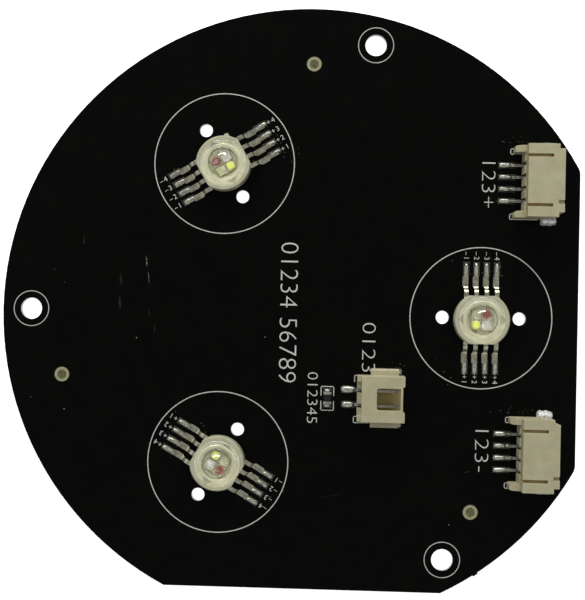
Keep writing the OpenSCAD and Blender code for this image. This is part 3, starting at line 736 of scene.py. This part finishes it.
# LED bond wires: fine gold, eight in each package. Each was welded to a die with a ball, led over in an
# arch and welded down on the finger of a lead.
BOND_WIRES = (
    # from a lead finger, to a die, and the rise of the arch
    ((-0.6, -1.96), (-0.115, -0.8), 0.2),
    ((-0.6, 1.96), (-0.115, -0.35), 0.4),
    ((0.6, -1.96), (0.4, 0.3), 0.4),
    ((0.6, 1.96), (0.6, 0.85), 0.2),
    ((-1.6, -1.35), (-0.8, 0.35), 0.35),
    ((-1.6, 1.35), (-0.8, 0.8), 0.2),
    ((1.6, -1.35), (0.8, -0.8), 0.2),
    ((1.6, 1.35), (0.8, -0.35), 0.35),
)
# heights in mm over the board
FINGER_TOP = 1.75
DIE_TOP = 1.7
WIRE_RADIUS = 0.018
WIRE_FOOT = 0.06
WIRE_STEPS = 12
WIRE_SIDES = 8
BALL_RADIUS = 0.05
BALL_SIDES, BALL_RINGS = 12, 6
BALL_SQUASH = (1, 1, 0.6)

gold = surface(
    "gold_wire", (150, 122, 66), (176, 146, 86), size=0.1, gloss=(0.3, 0.4), bump=(0.001, 0.05), metal=1.0,
)


def new_tree(name, source, result, **numbers):
    """A Geometry Nodes tree from the source socket to the result socket, with those numbers as inputs."""
    tree = bpy.data.node_groups.new(name, "GeometryNodeTree")
    add_socket = tree.interface.new_socket
    add_socket(source, in_out="INPUT", socket_type="NodeSocketGeometry")
    for number, value in numbers.items():
        socket = add_socket(number.replace("_", " "), in_out="INPUT", socket_type="NodeSocketFloat")
        socket.default_value = value
    add_socket(result, in_out="OUTPUT", socket_type="NodeSocketGeometry")
    return tree, tree.nodes.new("NodeGroupInput"), tree.nodes.new("NodeGroupOutput")


def stored(tree, name, kind):
    """Socket of a named attribute."""
    attribute = add_node(tree, "GeometryNodeInputNamedAttribute", {"Name": name}, data_type=kind)
    return attribute.outputs["Attribute"]


def finished(tree, shape, finish, result):
    """Ends a tree: the shape is shaded smooth, dressed and handed to the result socket."""
    smooth = add_node(tree, "GeometryNodeSetShadeSmooth", {"Geometry": shape})
    dressed = add_node(tree, "GeometryNodeSetMaterial", {"Geometry": smooth.outputs[0], "Material": finish})
    tree.links.new(dressed.outputs[0], result)
    return tree


def wire_tree():
    """Round wires along the edges of a mesh, with a squashed ball on the points marked for one."""
    tree, start, end = new_tree(
        "bond_wires", "Paths", "Wires", Wire_Radius=WIRE_RADIUS, Ball_Radius=BALL_RADIUS,
    )
    paths = start.outputs["Paths"]
    path = add_node(tree, "GeometryNodeMeshToCurve", {"Mesh": paths})
    rim = add_node(tree, "GeometryNodeCurvePrimitiveCircle", {
        "Radius": start.outputs["Wire Radius"], "Resolution": WIRE_SIDES,
    })
    wires = add_node(tree, "GeometryNodeCurveToMesh", {
        "Curve": path.outputs[0], "Profile Curve": rim.outputs["Curve"], "Fill Caps": True,
    })
    ball = add_node(tree, "GeometryNodeMeshUVSphere", {
        "Radius": start.outputs["Ball Radius"], "Segments": BALL_SIDES, "Rings": BALL_RINGS,
    })
    balls = add_node(tree, "GeometryNodeInstanceOnPoints", {
        "Points": paths, "Selection": stored(tree, "ball", "BOOLEAN"), "Instance": ball.outputs["Mesh"],
        "Scale": BALL_SQUASH,
    })
    both = add_node(tree, "GeometryNodeJoinGeometry", {0: wires.outputs[0]})
    tree.links.new(balls.outputs[0], both.inputs[0])
    real = add_node(tree, "GeometryNodeRealizeInstances", {0: both.outputs[0]})
    return finished(tree, real.outputs[0], gold, end.inputs["Wires"])


def grown(name, source, tree, **inputs):
    """Plain mesh from a source mesh and a Geometry Nodes tree whose named inputs are set."""
    maker = put_in(name, source)
    modifier = maker.modifiers.new(name, "NODES")
    modifier.node_group = tree
    for item in tree.interface.items_tree:
        key = item.name.replace(" ", "_")
        if item.in_out == "INPUT" and key in inputs:
            modifier[item.identifier] = inputs[key]
    mesh = as_shown(maker)
    bpy.data.meshes.remove(source)
    return mesh


def wire_paths(name):
    """Arches from the fingers to the dies, with a flat foot on the finger and a ball on the die."""
    points, lines, balls = [], [], []
    for finger, die, rise in BOND_WIRES:
        finger, die = Vector(finger), Vector(die)
        foot = (die - finger).normalized() * WIRE_FOOT
        path = [(*(finger - foot), FINGER_TOP + WIRE_RADIUS)]
        for i in range(WIRE_STEPS + 1):
            t = i / WIRE_STEPS
            height = FINGER_TOP + (DIE_TOP - FINGER_TOP) * t + 4 * rise * t * (1 - t)
            path.append((*finger.lerp(die, t), height + WIRE_RADIUS))
        first = len(points)
        points += path
        lines += [(i, i + 1) for i in range(first, len(points) - 1)]
        balls += [False] * (len(path) - 1) + [True]
    mesh = bpy.data.meshes.new(name)
    mesh.from_pydata(points, lines, [])
    mesh.attributes.new("ball", "BOOLEAN", "POINT").data.foreach_set("value", balls)
    return mesh


wires = wire_tree()
for k in LED_ANGLES:
    name = f"led_{k}_bonds"
    bonds = grown(name, wire_paths(name), wires, Wire_Radius=WIRE_RADIUS, Ball_Radius=BALL_RADIUS)
    bonds.transform(led_place(k))
    piece(name, bonds, gold, "gold_wire", f"led_{k}_wires")

# LED lenses: clear silicone, cast over the cup with its dies and wires. The mould gave each lens a
# dome on a stepped foot, and left the rims of the foot matt.
LENS_STEPS = 96
LENS_SUNK = 0.02
LENS_FILLET = 0.14
DOME_RADIUS = 2.75
DOME_STEPS = 24
# radius and height over the board, first of the cup's corners and then of the foot's
CUP = ((0, 1.55), (1.65, 1.55), (1.65, 1.75), (2.3, 1.75), (2.7, 2.45))
FOOT_STEPS = ((3.8, 2.45), (3.8, 2.75), (3.15, 2.75), (3.15, 2.95))
# what a lens leaves of the light that falls through it, and the share that its matt rims let through
LENS_SHADOW = (0.95, 0.95, 0.93, 1)
MATT_RIM = 0.5


def clear_silicone():
    """Clear lens material, matt on the rims. Lamps light what lies in it, as they do in a real lens."""
    material = surface(
        "clear_silicone", (222, 222, 212), (240, 240, 232), size=2.0, gloss=(0.02, 0.05), bump=(0.0012, 0.9),
        Transmission_Weight=1.0, IOR=1.45, Specular_IOR_Level=0.4, Coat_Weight=0.6, Coat_Roughness=0.03,
    )
    tree = material.node_tree
    shader = tree.nodes["Principled BSDF"]
    rim = add_node(tree, "ShaderNodeAttribute", attribute_name="edge").outputs["Fac"]
    tree.links.new(spread(tree, rim, 1, MATT_RIM, 0, 1), shader.inputs["Transmission Weight"])
    path = add_node(tree, "ShaderNodeLightPath")
    clear = add_node(tree, "ShaderNodeBsdfTransparent", {"Color": LENS_SHADOW})
    mixed = add_node(tree, "ShaderNodeMixShader", {
        0: path.outputs["Is Shadow Ray"], 1: shader.outputs[0], 2: clear.outputs[0],
    })
    tree.links.new(mixed.outputs[0], tree.nodes["Material Output"].inputs["Surface"])
    return material


def spun(name, profile, steps, edges=()):
    """A closed solid from half of its section, as (radius, height) points from axis to axis. The
    points named in edges are marked as the rims that the mould left matt."""
    bm = bmesh.new()
    mark = bm.verts.layers.float.new("edge")
    verts = [bm.verts.new((r, 0, z)) for r, z in profile]
    for i in edges:
        verts[i][mark] = 1.0
    lines = [bm.edges.new(pair) for pair in zip(verts, verts[1:])]
    turned(bm, verts, lines, steps)
    return smoothed(as_mesh(bm, name), sharp=40)


def rounded(before, corner, after, radius, steps=5):
    """Points of a curve that takes the place of a corner."""
    before, corner, after = Vector(before), Vector(corner), Vector(after)
    first = corner + (before - corner).normalized() * radius
    last = corner + (after - corner).normalized() * radius
    return [
        tuple(first.lerp(corner, i / steps).lerp(corner.lerp(last, i / steps), i / steps))
        for i in range(steps + 1)
    ]


def lens_section():
    """Half of the lens, and the numbers of the points on its rims: the cast cup, sunk a little into
    what holds it, the stepped foot with rounded edges, and the dome."""
    points = [(0, CUP[0][1] - LENS_SUNK)]
    points += [(r + LENS_SUNK, z - LENS_SUNK) for r, z in CUP[1:]]
    (foot, seat), foot_top, step_foot, step_top = FOOT_STEPS
    points.append((foot, seat - LENS_SUNK))
    rise = math.asin((step_top[1] - CUP[-1][1]) / DOME_RADIUS)
    dome_foot = (DOME_RADIUS * math.cos(rise), step_top[1])
    rims = []
    corners = [(foot, seat), foot_top, step_foot, step_top, dome_foot]
    for before, corner, after in zip(corners, corners[1:], corners[2:]):
        arc = rounded(before, corner, after, LENS_FILLET)
        if corner != step_foot:
            rims += range(len(points) + 1, len(points) + len(arc) - 1)
        points += arc
    for i in range(DOME_STEPS):
        a = rise + (math.pi / 2 - rise) * i / DOME_STEPS
        points.append((DOME_RADIUS * math.cos(a), CUP[-1][1] + DOME_RADIUS * math.sin(a)))
    points.append((0, CUP[-1][1] + DOME_RADIUS))
    return [(r, z + BOARD_TOP) for r, z in points], rims


silicone = clear_silicone()
section, rims = lens_section()
for k in LED_ANGLES:
    lens = spun(f"led_{k}_dome", section, LENS_STEPS, rims)
    lens.transform(Matrix.Translation((*led_centre(k), 0)))
    piece(f"led_{k}_dome", lens, silicone, "clear_lens", f"led_{k}_lens")

# Headers: side-entry shrouds moulded in cream nylon, with bent tinned contacts pressed in from the
# rear and tinned side tabs that hold them to the board.
HOUSING_EDGE = 0.08
PIN_EDGE = 0.05
# blocks in mm, from the point of the board under the middle of a housing's rear face, or beside it in
# line with the middle of a pin or of a roof slot
KEY_BRIDGE = ((5.78, -3.82, 3.6), (6.15, -3.18, 4.9))
ROOF_SLOT_AT = 4.05
SLOT_FLOOR = ((0.3, -0.33, 4.75), (4.35, 0.33, 5.2))
ARM_ENDS = ((-4, -8, -0.5), (-1.5, 8, 5))
PIN_NOTCH = ((-1, -0.32, -0.5), (0.62, 0.32, 3.12))
ROOF_SLOT = ((-1, -0.26, 4.95), (4.25, 0.26, 6))
# the part of each roof slot that gets a painted shade
SLOT_PAINTED_SHADE = ((0.25, -0.28, 4.9), (4.3, 0.28, 5.43))
# the sensor's cavity, whose painted shade fades out towards the mouth
SENSOR_CAVITY = ((0.9, -3.1, 0.6), (7.2, 3.1, 3.7))
# how much of the painted shade is left at the mouth of that cavity, where light comes in
SHROUD_MOUTH, PINS_MOUTH = 0.45, 0.6

contact_tin = surface(
    "contact_tin", (104, 104, 98), (148, 148, 140), size=0.5, gloss=(0.24, 0.42), bump=(0.006, 0.2),
    metal=1.0,
)
# painted shade and a painted reflection of the brown cavity walls, on the contacts inside the sensor's cavity
with_painted_shade(contact_tin, shade=(92, 82, 54))


def cream_nylon(name, deep_shade):
    """Housing plastic, with a painted shade, darker and warmer, in its slots and cavities."""
    material = surface(
        name, (154, 149, 119), (166, 161, 130), size=2.2, gloss=(0.42, 0.6), bump=(0.006, 0.25),
        Subsurface_Weight=0.3, Subsurface_Scale=0.0008, Subsurface_Radius=(1.0, 0.75, 0.45),
    )
    with_painted_shade(material, deep_shade)
    return material


# two nylons that differ only in their painted shade: dark brown in the roof slots, yellow-olive in the
# sensor's cavity
slotted_nylon = cream_nylon("slotted_nylon", deep_shade=(132, 104, 40))
hollow_nylon = cream_nylon("hollow_nylon", deep_shade=(168, 148, 62))


def set_at(x, y, block, shift=0):
    """A block's two corners, shifted along Y and moved to a place on the board."""
    place = Vector((x, y, BOARD_TOP))
    return tuple(tuple(place + Vector((along, across + shift, up))) for along, across, up in block)


for header in ("plus_header_", "minus_header_", "sensor_header_"):
    added, cut, painted_shade_blocks, nylon = [], [], [], hollow_nylon
    if header in HEADERS:
        x, y, pitch = HEADERS[header]
        slots = (-ROOF_SLOT_AT, ROOF_SLOT_AT)
        added = [set_at(x, y, KEY_BRIDGE)] + [set_at(x, y, SLOT_FLOOR, slot) for slot in slots]
        cut = [set_at(x, y, ARM_ENDS)] + [set_at(x, y + step * pitch, PIN_NOTCH) for step in ROW]
        cut += [set_at(x, y, ROOF_SLOT, slot) for slot in slots]
        painted_shade_blocks = [set_at(x, y, SLOT_PAINTED_SHADE, slot) for slot in slots]
        nylon = slotted_nylon
    shroud = softened(header + "housing", HOUSING_EDGE, added=added, cut=cut)
    pins = softened(header + "contacts", PIN_EDGE)
    # painted shade in the roof slots
    for low, high in painted_shade_blocks:
        marked_for_painted_shade(shroud, low, high)
    if header not in HEADERS:
        # painted shade in the sensor's cavity, on the shroud and the contacts, fading towards the mouth
        low, high = set_at(*SENSOR_AT, SENSOR_CAVITY)
        marked_for_painted_shade(shroud, low, high, SHROUD_MOUTH)
        marked_for_painted_shade(pins, low, high, PINS_MOUTH)
    piece(header + "shroud", shroud, nylon, "header_housing", header + "housing")
    piece(header + "pins", pins, contact_tin, "contact_tin", header + "contacts")
    tabs = softened(header + "tabs", PIN_EDGE / 2)
    piece(header + "hold_downs", tabs, contact_tin, "contact_tin", header + "tabs")

# Thermistor: a dark ceramic chip, 2 mm long, with fired silver end caps that were tinned over. It
# bridges two lands and is soldered to both.
CAP_EDGE = 0.02
dress("thermistor_body", surface(
    "chip_ceramic", (12, 12, 12), (24, 23, 22), size=0.2, gloss=(0.4, 0.6), bump=(0.004, 0.1),
    Specular_IOR_Level=0.12,
))
caps = softened("thermistor_caps", CAP_EDGE)
piece("thermistor_ends", caps, contact_tin, "contact_tin", "thermistor_caps")

# Solder joints: tin laid on each lead and pin with a hand iron, where it froze in an uneven bead, and as a
# thin film on the rest of the land. The side tabs of the four-pin headers have tall grainy mounds.
SLUG_JOINT_RADIUS = 2.8
SLUG_JOINT_STEPS = 48
# heights in mm over the back of the board
LAND_Z = 0.955
FILM_TOP = 1.04
# how far the beads of each LED lie off their lands in mm, along the row of leads and along a lead
LED_SLIPS = {1: (0, -0.1), 2: (-0.025, -0.15), 3: (0.05, 0)}
# lands as (length, width), joints as (length, width, height), and places from the middle of an LED or
# of a chip or from the middle of a header's rear face, all in mm
LEAD_LAND_AT = 8.225
LEAD_LAND = (2.37, 1.12)
LEAD_JOINT = (2.28, 1.0, 0.42)
PIN_AT = -2.5
PIN_LAND = (2.87, 1.07)
PIN_JOINT_AT = -2.6
PIN_JOINT = (2.6, 1.1, 0.44)
PIN_HEEL_AT = -1.5
PIN_HEEL = (2.1, 0.78, 0.38)
TAB_AT = (4.5, 6.05)
TAB_LAND = (2.72, 1.62)
MOUND_SHIFTS = (-0.52, 0.5)
# how far out the mounds lie and their size, on the tab nearer to the board's middle and on the other
NEAR_MOUND_AT, NEAR_MOUND = 6.23, (1.75, 1.75, 1.0)
FAR_MOUND_AT, FAR_MOUND = 6.15, (1.4, 1.2, 0.6)
SENSOR_PIN_AT = (-2.1, 1.25)
SENSOR_PIN_LAND = (2.42, 1.12)
SENSOR_JOINT = (2.65, 1.6, 0.46)
SENSOR_TAB_AT = (4.4, 4.4)
SENSOR_TAB_LAND = (4.42, 1.22)
SENSOR_TAB_JOINT_AT = (6.3, 4.2)
SENSOR_TAB_JOINT = (0.7, 0.7, 0.5)
CHIP_LAND_AT = 1.17
CHIP_LAND = (1.52, 1.07)
CHIP_JOINT_AT = 1.22
CHIP_JOINT = (1.35, 1.05, 0.58)
# how far a bead may lie off its land's middle in mm, turn in degrees, and differ in size
BEAD_OFF = 0.06
BEAD_TURN = 3
MOUND_TURN = 12
BEAD_SHARE = 0.08
# height in mm over which the bumps of the skin set in, and octaves of their noise
SKIN_RISE = 0.2
SKIN_DETAIL = 2

solder = surface(
    "solder", (106, 106, 97), (150, 150, 139), size=0.4, gloss=(0.26, 0.42), bump=(0.006, 0.3), metal=1.0,
)
fluxed_tin = surface(
    "fluxed_tin", (24, 23, 18), (52, 50, 40), size=0.35, gloss=(0.4, 0.6), bump=(0.006, 0.2), metal=0.7,
)
grainy_solder = surface(
    "grainy_solder", (176, 178, 176), (226, 228, 226), size=0.22, gloss=(0.3, 0.5), bump=(0.035, 0.16),
    metal=0.3,
)


def unit_joint(around=36, rings=12, squareness=2.8, lengthwise=0.45, across=0.8, wetting=55, taper=0.25):
    """A joint one millimetre long, wide and high: a rounded rectangle at its foot, domed above, and
    narrower towards one end."""
    first = math.radians(wetting)
    bm = bmesh.new()
    levels = []
    for j in range(rings):
        rise = first + (math.pi / 2 - first) * j / rings
        spread_out = math.cos(rise) / math.cos(first)
        height = (math.sin(rise) - math.sin(first)) / (1 - math.sin(first))
        level = []
        for along, side in rounded_square(around, squareness):
            x, y = along * spread_out ** lengthwise / 2, side * spread_out ** across / 2
            level.append(bm.verts.new((x, y * (1 - taper * (x + 0.5)), height * (1 - taper * (x + 0.5) / 2))))
        levels.append(level)
    crown = bm.verts.new((0, 0, 1 - taper / 4))
    walled(bm, levels)
    for i in range(around):
        bm.faces.new((levels[-1][i], levels[-1][(i + 1) % around], crown))
    bm.faces.new(reversed(levels[0]))
    return bpy.data.objects.new("unit_joint", as_mesh(bm, "unit_joint"))


def joint_tree(joint, finish):
    """A joint on each point, sized and turned by the point, with a skin that froze unevenly."""
    tree, start, end = new_tree("solder_joints", "Points", "Joints", Bumps=0.1, Grain=0.5, Seed=0.0)
    source = add_node(tree, "GeometryNodeObjectInfo", {"Object": joint})
    angle = add_node(tree, "ShaderNodeCombineXYZ", {"Z": stored(tree, "turn", "FLOAT")})
    turn = add_node(tree, "FunctionNodeEulerToRotation", {0: angle.outputs[0]})
    placed = add_node(tree, "GeometryNodeInstanceOnPoints", {
        "Points": start.outputs["Points"], "Instance": source.outputs["Geometry"],
        "Rotation": turn.outputs[0], "Scale": stored(tree, "size", "FLOAT_VECTOR"),
    })
    real = add_node(tree, "GeometryNodeRealizeInstances", {0: placed.outputs[0]})

    place = add_node(tree, "GeometryNodeInputPosition").outputs[0]
    finer = add_node(
        tree, "ShaderNodeVectorMath", {0: place, 1: start.outputs["Grain"]}, operation="DIVIDE",
    )
    noise = add_node(tree, "ShaderNodeTexNoise", {
        "Vector": finer.outputs[0], "W": start.outputs["Seed"], "Scale": 1, "Detail": SKIN_DETAIL,
    }, noise_dimensions="4D")
    height = add_node(tree, "ShaderNodeSeparateXYZ", {0: place})
    free = spread(tree, height.outputs["Z"], 0, 1, BOARD_TOP, BOARD_TOP + SKIN_RISE)
    swing = calculated(tree, "SUBTRACT", noise.outputs[0], 0.5)
    swing = calculated(tree, "MULTIPLY", swing, free)
    swing = calculated(tree, "MULTIPLY", swing, start.outputs["Bumps"])
    facing = add_node(tree, "GeometryNodeInputNormal").outputs[0]
    out = add_node(tree, "ShaderNodeVectorMath", {0: facing, "Scale": swing}, operation="SCALE")
    moved = add_node(tree, "GeometryNodeSetPosition", {
        "Geometry": real.outputs[0], "Offset": out.outputs[0],
    })
    return finished(tree, moved.outputs[0], finish, end.inputs["Joints"])


joint_shape = unit_joint()
film_shape = unit_joint(squareness=8, taper=0)
joint_trees = {
    finish.name: joint_tree(shape, finish)
    for shape, finish in ((joint_shape, solder), (joint_shape, grainy_solder), (film_shape, fluxed_tin))
}
chance = random.Random(7)


def soldered(name, joints, finish=solder, bumps=0.12, grain_size=0.55, seed=0.0):
    """Mesh in mm of joints given as (x, y, turn in degrees, (length, width, height), foot)."""
    spots = bpy.data.meshes.new(name)
    spots.from_pydata([(x, y, foot) for x, y, _, _, foot in joints], [], [])
    turns = spots.attributes.new("turn", "FLOAT", "POINT")
    sizes = spots.attributes.new("size", "FLOAT_VECTOR", "POINT")
    for i, (_, _, turn, size, _) in enumerate(joints):
        turns.data[i].value = math.radians(turn)
        sizes.data[i].vector = size
    return grown(name, spots, joint_trees[finish.name], Bumps=bumps, Grain=grain_size, Seed=float(seed))


def soldered_piece(name, joints, *replaced, finish=solder, **inputs):
    """A piece that is nothing but joints."""
    piece(name, soldered(name, joints, finish, **inputs), finish, "solder", *replaced)


def varied(size):
    """A size as it comes out, a little more or less each way."""
    return tuple(side * (1 + chance.uniform(-BEAD_SHARE, BEAD_SHARE)) for side in size)


def askew(most=BEAD_TURN):
    """A small turn either way, in degrees."""
    return chance.uniform(-most, most)


def bead_on(x, y, turn, joint, slip=(0, 0)):
    """The bead on a land, which the iron left a little off its middle."""
    off = chance.uniform(-BEAD_OFF, BEAD_OFF)
    lean = math.radians(turn)
    length, width, height = joint
    return (
        x + slip[0] + off * math.cos(lean), y + slip[1] + off * math.sin(lean),
        turn + askew(), varied((length, width, height + BOARD_TOP - LAND_Z)), LAND_Z,
    )


def film_on(x, y, turn, land):
    """The thin tin on the rest of the land, under a skin of flux."""
    return (x, y, turn, (*land, FILM_TOP - LAND_Z), LAND_Z)


for k, angle in LED_ANGLES.items():
    centre = swung(angle, LED_CIRCLE)
    slip = swung(angle, *LED_SLIPS[k])
    joints, films = [], []
    for side in (-1, 1):
        for step in ROW:
            spot = centre + swung(angle, step * LEAD_PITCH, side * LEAD_LAND_AT)
            joints.append(bead_on(*spot, angle + 90 * side + 180, LEAD_JOINT, slip))
            films.append(film_on(*spot, angle + 90, LEAD_LAND))
    soldered_piece(f"led_{k}_films", films, finish=fluxed_tin, bumps=0.0)
    disc = spun(
        "slug_joint",
        [(0, LAND_Z), (SLUG_JOINT_RADIUS, LAND_Z), (SLUG_JOINT_RADIUS, BOARD_TOP), (0, BOARD_TOP)],
        SLUG_JOINT_STEPS,
    )
    disc.transform(Matrix.Translation((*led_centre(k), 0)))
    name = f"led_{k}_joints"
    joint_mesh = smoothed(joined(name, [soldered(name, joints, seed=k), disc]), sharp=50)
    piece(name, joint_mesh, solder, "solder", f"led_{k}_solder")

for header, (x, y, pitch) in HEADERS.items():
    joints, films = [], []
    for step in ROW:
        pin = y + step * pitch
        joints.append(bead_on(x + PIN_JOINT_AT, pin, 0, PIN_JOINT))
        joints.append((x + PIN_HEEL_AT, pin, askew(), varied(PIN_HEEL), LAND_Z))
        films.append(film_on(x + PIN_AT, pin, 0, PIN_LAND))
    for side in (-1, 1):
        films.append(film_on(x + TAB_AT[0], y + side * TAB_AT[1], 0, TAB_LAND))
    soldered_piece(header + "films", films, finish=fluxed_tin, bumps=0.0)
    soldered_piece(header + "joints", joints, header + "solder", seed=y)
    mounds = []
    for side in (-1, 1):
        out, size = (NEAR_MOUND_AT, NEAR_MOUND) if side * y < 0 else (FAR_MOUND_AT, FAR_MOUND)
        for shift in MOUND_SHIFTS:
            mounds.append((
                x + TAB_AT[0] + shift, y + side * out, askew(MOUND_TURN), varied(size), LAND_Z,
            ))
    soldered_piece(header + "mounds", mounds, finish=grainy_solder, bumps=0.5, grain_size=0.38, seed=y)

joints, films = [], []
x, y = SENSOR_AT
for side in (-1, 1):
    pin = (x + SENSOR_PIN_AT[0], y + side * SENSOR_PIN_AT[1])
    tab = (x + SENSOR_TAB_AT[0], y + side * SENSOR_TAB_AT[1])
    tab_joint = (x + SENSOR_TAB_JOINT_AT[0], y + side * SENSOR_TAB_JOINT_AT[1])
    joints.append(bead_on(*pin, 0, SENSOR_JOINT))
    films += [film_on(*pin, 0, SENSOR_PIN_LAND), film_on(*tab, 0, SENSOR_TAB_LAND)]
    joints.append((*tab_joint, 0, SENSOR_TAB_JOINT, LAND_Z))
soldered_piece("sensor_header_joints", joints, "sensor_header_solder", seed=5)

joints = []
x, y = CHIP_AT
for side in (-1, 1):
    films.append(film_on(x, y + side * CHIP_LAND_AT, 0, CHIP_LAND))
    joints.append((x, y + side * CHIP_JOINT_AT, 0, varied(CHIP_JOINT), LAND_Z))
soldered_piece("thermistor_joints", joints, "thermistor_solder", seed=9)
soldered_piece("sensor_films", films, finish=fluxed_tin, bumps=0.0)

# Flux and dust: specks of dried flux that spat from the iron and stuck to the lacquer round the
# joints, and a few specks of dust farther out.
SPECK_FIELDS = (
    # middle, spread along and across in mm, and the number of specks
    ((36.0, 29.6), 3.2, 0.5, 26), ((36.4, -15.6), 3.6, 0.5, 22), ((14.6, -8.6), 1.2, 0.5, 14),
    ((30.6, 19.5), 1.4, 0.4, 8), ((30.8, -25.6), 1.6, 0.5, 8),
)
# how far from an LED's middle the specks by its leads lie, and their spread and number
LEAD_FIELD_AT = 7.4
LEAD_FIELD = (3.0, 1.5, 26)
SPECK_SIZE = (0.06, 0.15)
SPECK_WIDTH, SPECK_HEIGHT = 0.8, 0.4
SPECK_FOOT = BOARD_TOP - 0.01
DUST_HEIGHT = 0.06
DUST = (
    # place and width
    ((-28.7, -4.6), 0.24), ((-40.7, -16.9), 0.24), ((-42.9, 6.7), 0.11), ((-41.2, 4.5), 0.11),
    ((-46.4, -15.0), 0.12), ((24.4, -34.6), 0.2), ((-7.0, -4.0), 0.2),
)

flux = surface("dried_flux", (96, 94, 78), (150, 148, 130), size=0.1, gloss=(0.4, 0.6), bump=(0.004, 0.05))
speck_shape = unit_joint(around=10, rings=4)
joint_trees[flux.name] = joint_tree(speck_shape, flux)

specks = [(*at, 0, (width, width * SPECK_WIDTH, DUST_HEIGHT), SPECK_FOOT) for at, width in DUST]
fields = list(SPECK_FIELDS)
for angle in LED_ANGLES.values():
    fields += [(swung(angle, LED_CIRCLE, side * LEAD_FIELD_AT), *LEAD_FIELD) for side in (-1, 1)]
for centre, spread_x, spread_y, count in fields:
    for _ in range(count):
        size = chance.uniform(*SPECK_SIZE)
        specks.append((
            chance.gauss(centre[0], spread_x), chance.gauss(centre[1], spread_y), chance.uniform(0, 180),
            (size, size * SPECK_WIDTH, size * SPECK_HEIGHT), SPECK_FOOT,
        ))
soldered_piece("flux_specks", specks, finish=flux, bumps=0.0)

for shape in (joint_shape, film_shape, speck_shape):
    bpy.data.objects.remove(shape)
